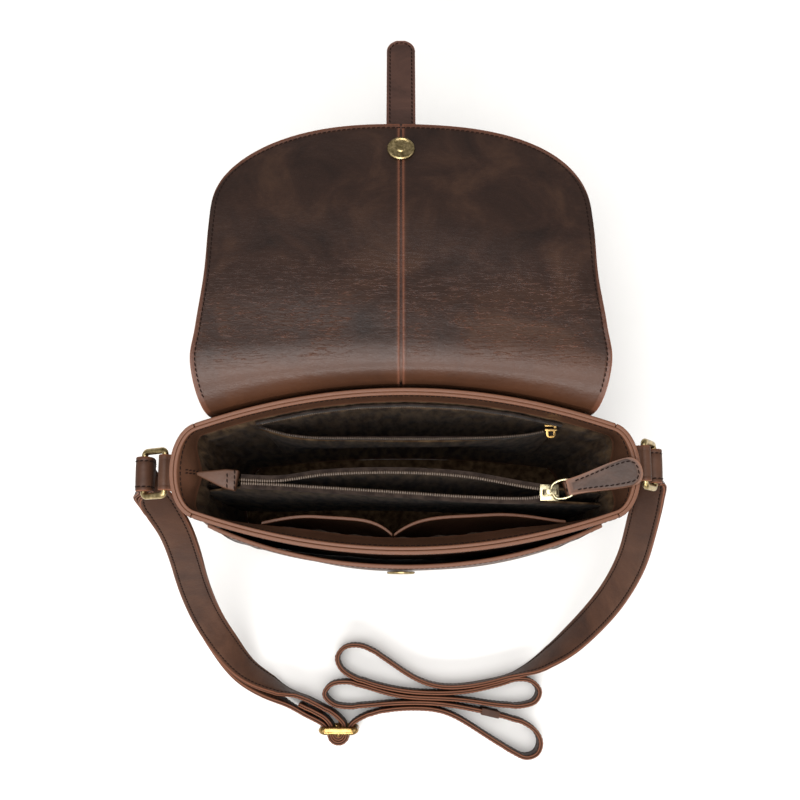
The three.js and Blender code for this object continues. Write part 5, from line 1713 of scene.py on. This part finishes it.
# %% [markdown]
# Stitches go on last, because each row follows the edge of a finished piece at the same distance. The
# helpers below read a path off the same rules that made the sheet, so the thread always lies in the line
# that was pressed for it.

# %% Stitch rows on the bag


def wall_path(shares, heights, inset):
    """A path on a wall with the outward directions along it."""
    places = wall_point(shares, heights, inset)
    deeper = wall_point(shares, heights, inset + 1)
    return places, places - deeper


# A panel is about this wide, so the inset in millimetres can be turned into a share round the outline.
PANEL_WIDTH = 240
rows = []
edge_share = PANEL_SPAN * STITCH_INSET / PANEL_WIDTH
for start in (BACK_START, FRONT_START):
    for share in (start + edge_share, start + PANEL_SPAN - edge_share):
        heights = np.linspace(4, BODY_HEIGHT - 3, 80)
        path, out = wall_path(np.full(80, share), heights, 0.05)
        rows.append(stitch_row(path, out))
shares = np.linspace(0, 1, 600)
path, out = wall_path(shares, np.full(600, BODY_HEIGHT - STITCH_INSET), 0.05)
rows.append(stitch_row(path, out))
inner = on_facing(shares, np.full(600, BODY_HEIGHT - STITCH_INSET)) + FACING_MM
path, out = wall_path(shares, np.full(600, BODY_HEIGHT - STITCH_INSET), inner - 0.05)
rows.append(stitch_row(path, -out))
for start in (LEFT_START, RIGHT_START):
    for beside in (-1, 1):
        share = start + GUSSET_SPAN / 2 + beside * 0.0022
        heights = np.linspace(BODY_HEIGHT - FACING_HEIGHT + 1, BODY_HEIGHT - 4, 20)
        inner = on_facing(np.full(20, share), heights) + FACING_MM
        path, out = wall_path(np.full(20, share), heights, inner - 0.05)
        rows.append(stitch_row(path, -out))
joined_rows("body_stitches", rows, THREAD, slot="body_leather")

rows = []
pocket_shares = np.linspace(POCKET_START + 0.004, POCKET_START + POCKET_SPAN - 0.004, 200)
for height in (POCKET_BOTTOM + STITCH_INSET, POCKET_TOP - STITCH_INSET):
    heights = np.full(200, height)
    path, out = wall_path(pocket_shares, heights, on_front_pocket(pocket_shares, heights) + 0.05)
    rows.append(stitch_row(path, out))
for share in (POCKET_START + 0.0044, POCKET_START + POCKET_SPAN - 0.0044):
    heights = np.linspace(POCKET_BOTTOM + 4, POCKET_TOP - 4, 120)
    edge_shares = np.full(120, share)
    path, out = wall_path(edge_shares, heights, on_front_pocket(edge_shares, heights) + 0.05)
    rows.append(stitch_row(path, out))
joined_rows("front_pocket_stitches", rows, THREAD, slot="pocket_leather")

rows = []
for pocket in (slip_left, slip_right):
    shares = np.linspace(pocket["from"] + 0.002, pocket["to"] - 0.002, 120)
    heights = np.full(120, SLIP_TOP - STITCH_INSET)
    inset = ON_LINING + looseness(shares, heights) + mouth_stand(pocket, shares) + SLIP_MM - 0.05
    path, out = wall_path(shares, heights, inset)
    rows.append(stitch_row(path, -out))
joined_rows("slip_pocket_stitches", rows, THREAD, slot="pocket_leather")


def flap_rim(inset, offset):
    """A path at an even distance inside the flap's edge, laid out flat and then wrapped onto the flap."""
    run = np.linspace(-1, 1, 700)
    across = np.sin(run * math.pi / 2)
    end = flap_length - corner_cut(across, FLAP_CORNER, FLAP_CORNER_POWER)
    side = np.linspace(flap_length * 0.17, flap_length - FLAP_CORNER, 160)
    across = np.concatenate([np.full(159, -1.0), across, np.full(159, 1.0)])
    length = np.concatenate([side[:-1], end, side[-2::-1]])
    half_width = FLAP_WIDTH / 2 * row_value(FLAP_OUTLINE, "along", length / flap_length, "width")
    flat = np.stack([across * half_width, length], axis=-1)
    ahead = np.gradient(flat, axis=0)
    ahead = ahead / np.maximum(np.linalg.norm(ahead, axis=-1, keepdims=True), 1e-9)
    flat = flat + np.stack([ahead[:, 1], -ahead[:, 0]], axis=-1) * inset
    half_width = FLAP_WIDTH / 2 * row_value(FLAP_OUTLINE, "along", flat[:, 1] / flap_length, "width")
    path = flap_point(flat[:, 0] / half_width, flat[:, 1], offset)
    deeper = flap_point(flat[:, 0] / half_width, flat[:, 1], offset + 1)
    return path, deeper - path


rows = []
lined = half_gap + FLAP_FACING_MM
path, up = flap_rim(STITCH_INSET, lined - 0.05)
rows.append(stitch_row(path, up))
path, up = flap_rim(STITCH_INSET, -half_gap - FLAP_OUTER_MM + 0.05)
rows.append(stitch_row(path, -up))
joined_rows("flap_stitches", rows, THREAD, slot="facing_leather")

rows = []
for offset, up in ((tab_top, 1), (tab_top - TAB_MM, -1)):
    face = tab_face(offset, STITCH_INSET - 0.6)
    start = 0 if up == -1 else 0.45
    run = np.linspace(start, 1, 120)
    left_side = face(np.zeros(120), run)
    end = face(np.linspace(0, 1, 40), np.ones(40))
    right_side = face(np.ones(120), run[::-1])
    rows.append(stitch_row(np.concatenate([left_side, end[1:-1], right_side]), (0, 0, up)))
joined_rows("closing_tab_stitches", rows, THREAD, slot="flap_leather")

rows = []
run = np.linspace(0.08, 1, 80)
inset = 2.2
outline = [pull_outline(np.zeros(80), run, inset), pull_outline(np.linspace(0, 1, 40), np.ones(40), inset)]
outline.append(pull_outline(np.ones(80), run[::-1], inset))
along = np.concatenate([part[0] for part in outline])
wide = np.concatenate([part[1] for part in outline])
bend = pull_bend(along)
path = pull_from + along[:, None] * pull_along + wide[:, None] * pull_wide
for side in (-1, 1):
    rows.append(stitch_row(path + (bend + side * (PULL_MM / 2))[:, None] * pull_up, pull_up * side))
joined_rows("pull_tab_stitches", rows, THREAD, slot="strap_leather")

# %% [markdown]
# The zip's leather ends are sewn through twice where they hold the tapes. Their tops are not flat, so the
# path is found by dropping points onto the solid from above.

# %% Stitches over the zip's ends
END_STITCHES = (2.4, 6.6)


def dropped_row(node, x):
    """A path across a solid's top at one place along X, found by looking straight down on it."""
    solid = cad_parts[node].data
    tree = BVHTree.FromPolygons([v.co for v in solid.vertices], [f.vertices for f in solid.polygons])
    low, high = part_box(node)
    path = []
    for y in np.linspace(low.y, high.y, 60):
        hit, normal, _, _ = tree.ray_cast(Vector((x * MM, y, high.z + 10 * MM)), Vector((0, 0, -1)))
        if hit is not None and normal.z > 0.4:
            path.append(hit / MM)
    return np.array(path)


rows = []
for node, end, way in (("zip_end_left", 1, -1), ("zip_end_right", 0, 1)):
    for inset in END_STITCHES:
        path = dropped_row(node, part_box(node)[end].x / MM + way * inset)
        if len(path) > 8:
            rows.append(stitch_row(path, (0, 0, 1), lift=0.2))
joined_rows("zip_end_stitches", rows, THREAD, slot="pocket_leather")

# %% [markdown]
# The back pocket's zip shows as two rows of teeth, one on each tape. They are made like a row of stitches,
# with each tooth turned across the row.

# %% Back zip teeth
LOWER_TEETH_UP = 6.2
UPPER_TEETH_UP = 14
rows = []
shares = np.linspace(back_pocket["from"] + 0.004, back_pocket["to"] - 0.004, 160)
stand = ON_LINING + mouth_stand(back_pocket, shares) + SLIP_MM / 2
path, out = wall_path(shares, np.full(160, BACK_POCKET_TOP + GAP + LOWER_TEETH_UP), stand)
rows.append(row_of(capsule(1.6, 0.45), path, (0, 0, 1), TOOTH_PITCH, slant=math.pi / 2))
path, out = wall_path(shares, np.full(160, BACK_POCKET_TOP + UPPER_TEETH_UP), np.full(160, ON_LINING + 0.6))
rows.append(row_of(capsule(1.6, 0.45), path, (0, 0, 1), TOOTH_PITCH, slant=math.pi / 2))
joined_rows("back_zip_coil", rows, COIL, slot="zip_tape")

# %% [markdown]
# The floor is a plain pale sheet. It isn't part of the bag.

# %% Floor
floor_mesh = bpy.data.meshes.new("floor")
reach = FLOOR_SIZE / 2
corners = [(x * reach, y * reach, -FLOOR_DROP) for x, y in ((-1, -1), (1, -1), (1, 1), (-1, 1))]
floor_mesh.from_pydata(corners, [], [(0, 1, 2, 3)])
floor = bpy.data.objects.new("floor", floor_mesh)
floor_mesh.materials.append(FLOOR)
bpy.context.scene.collection.objects.link(floor)
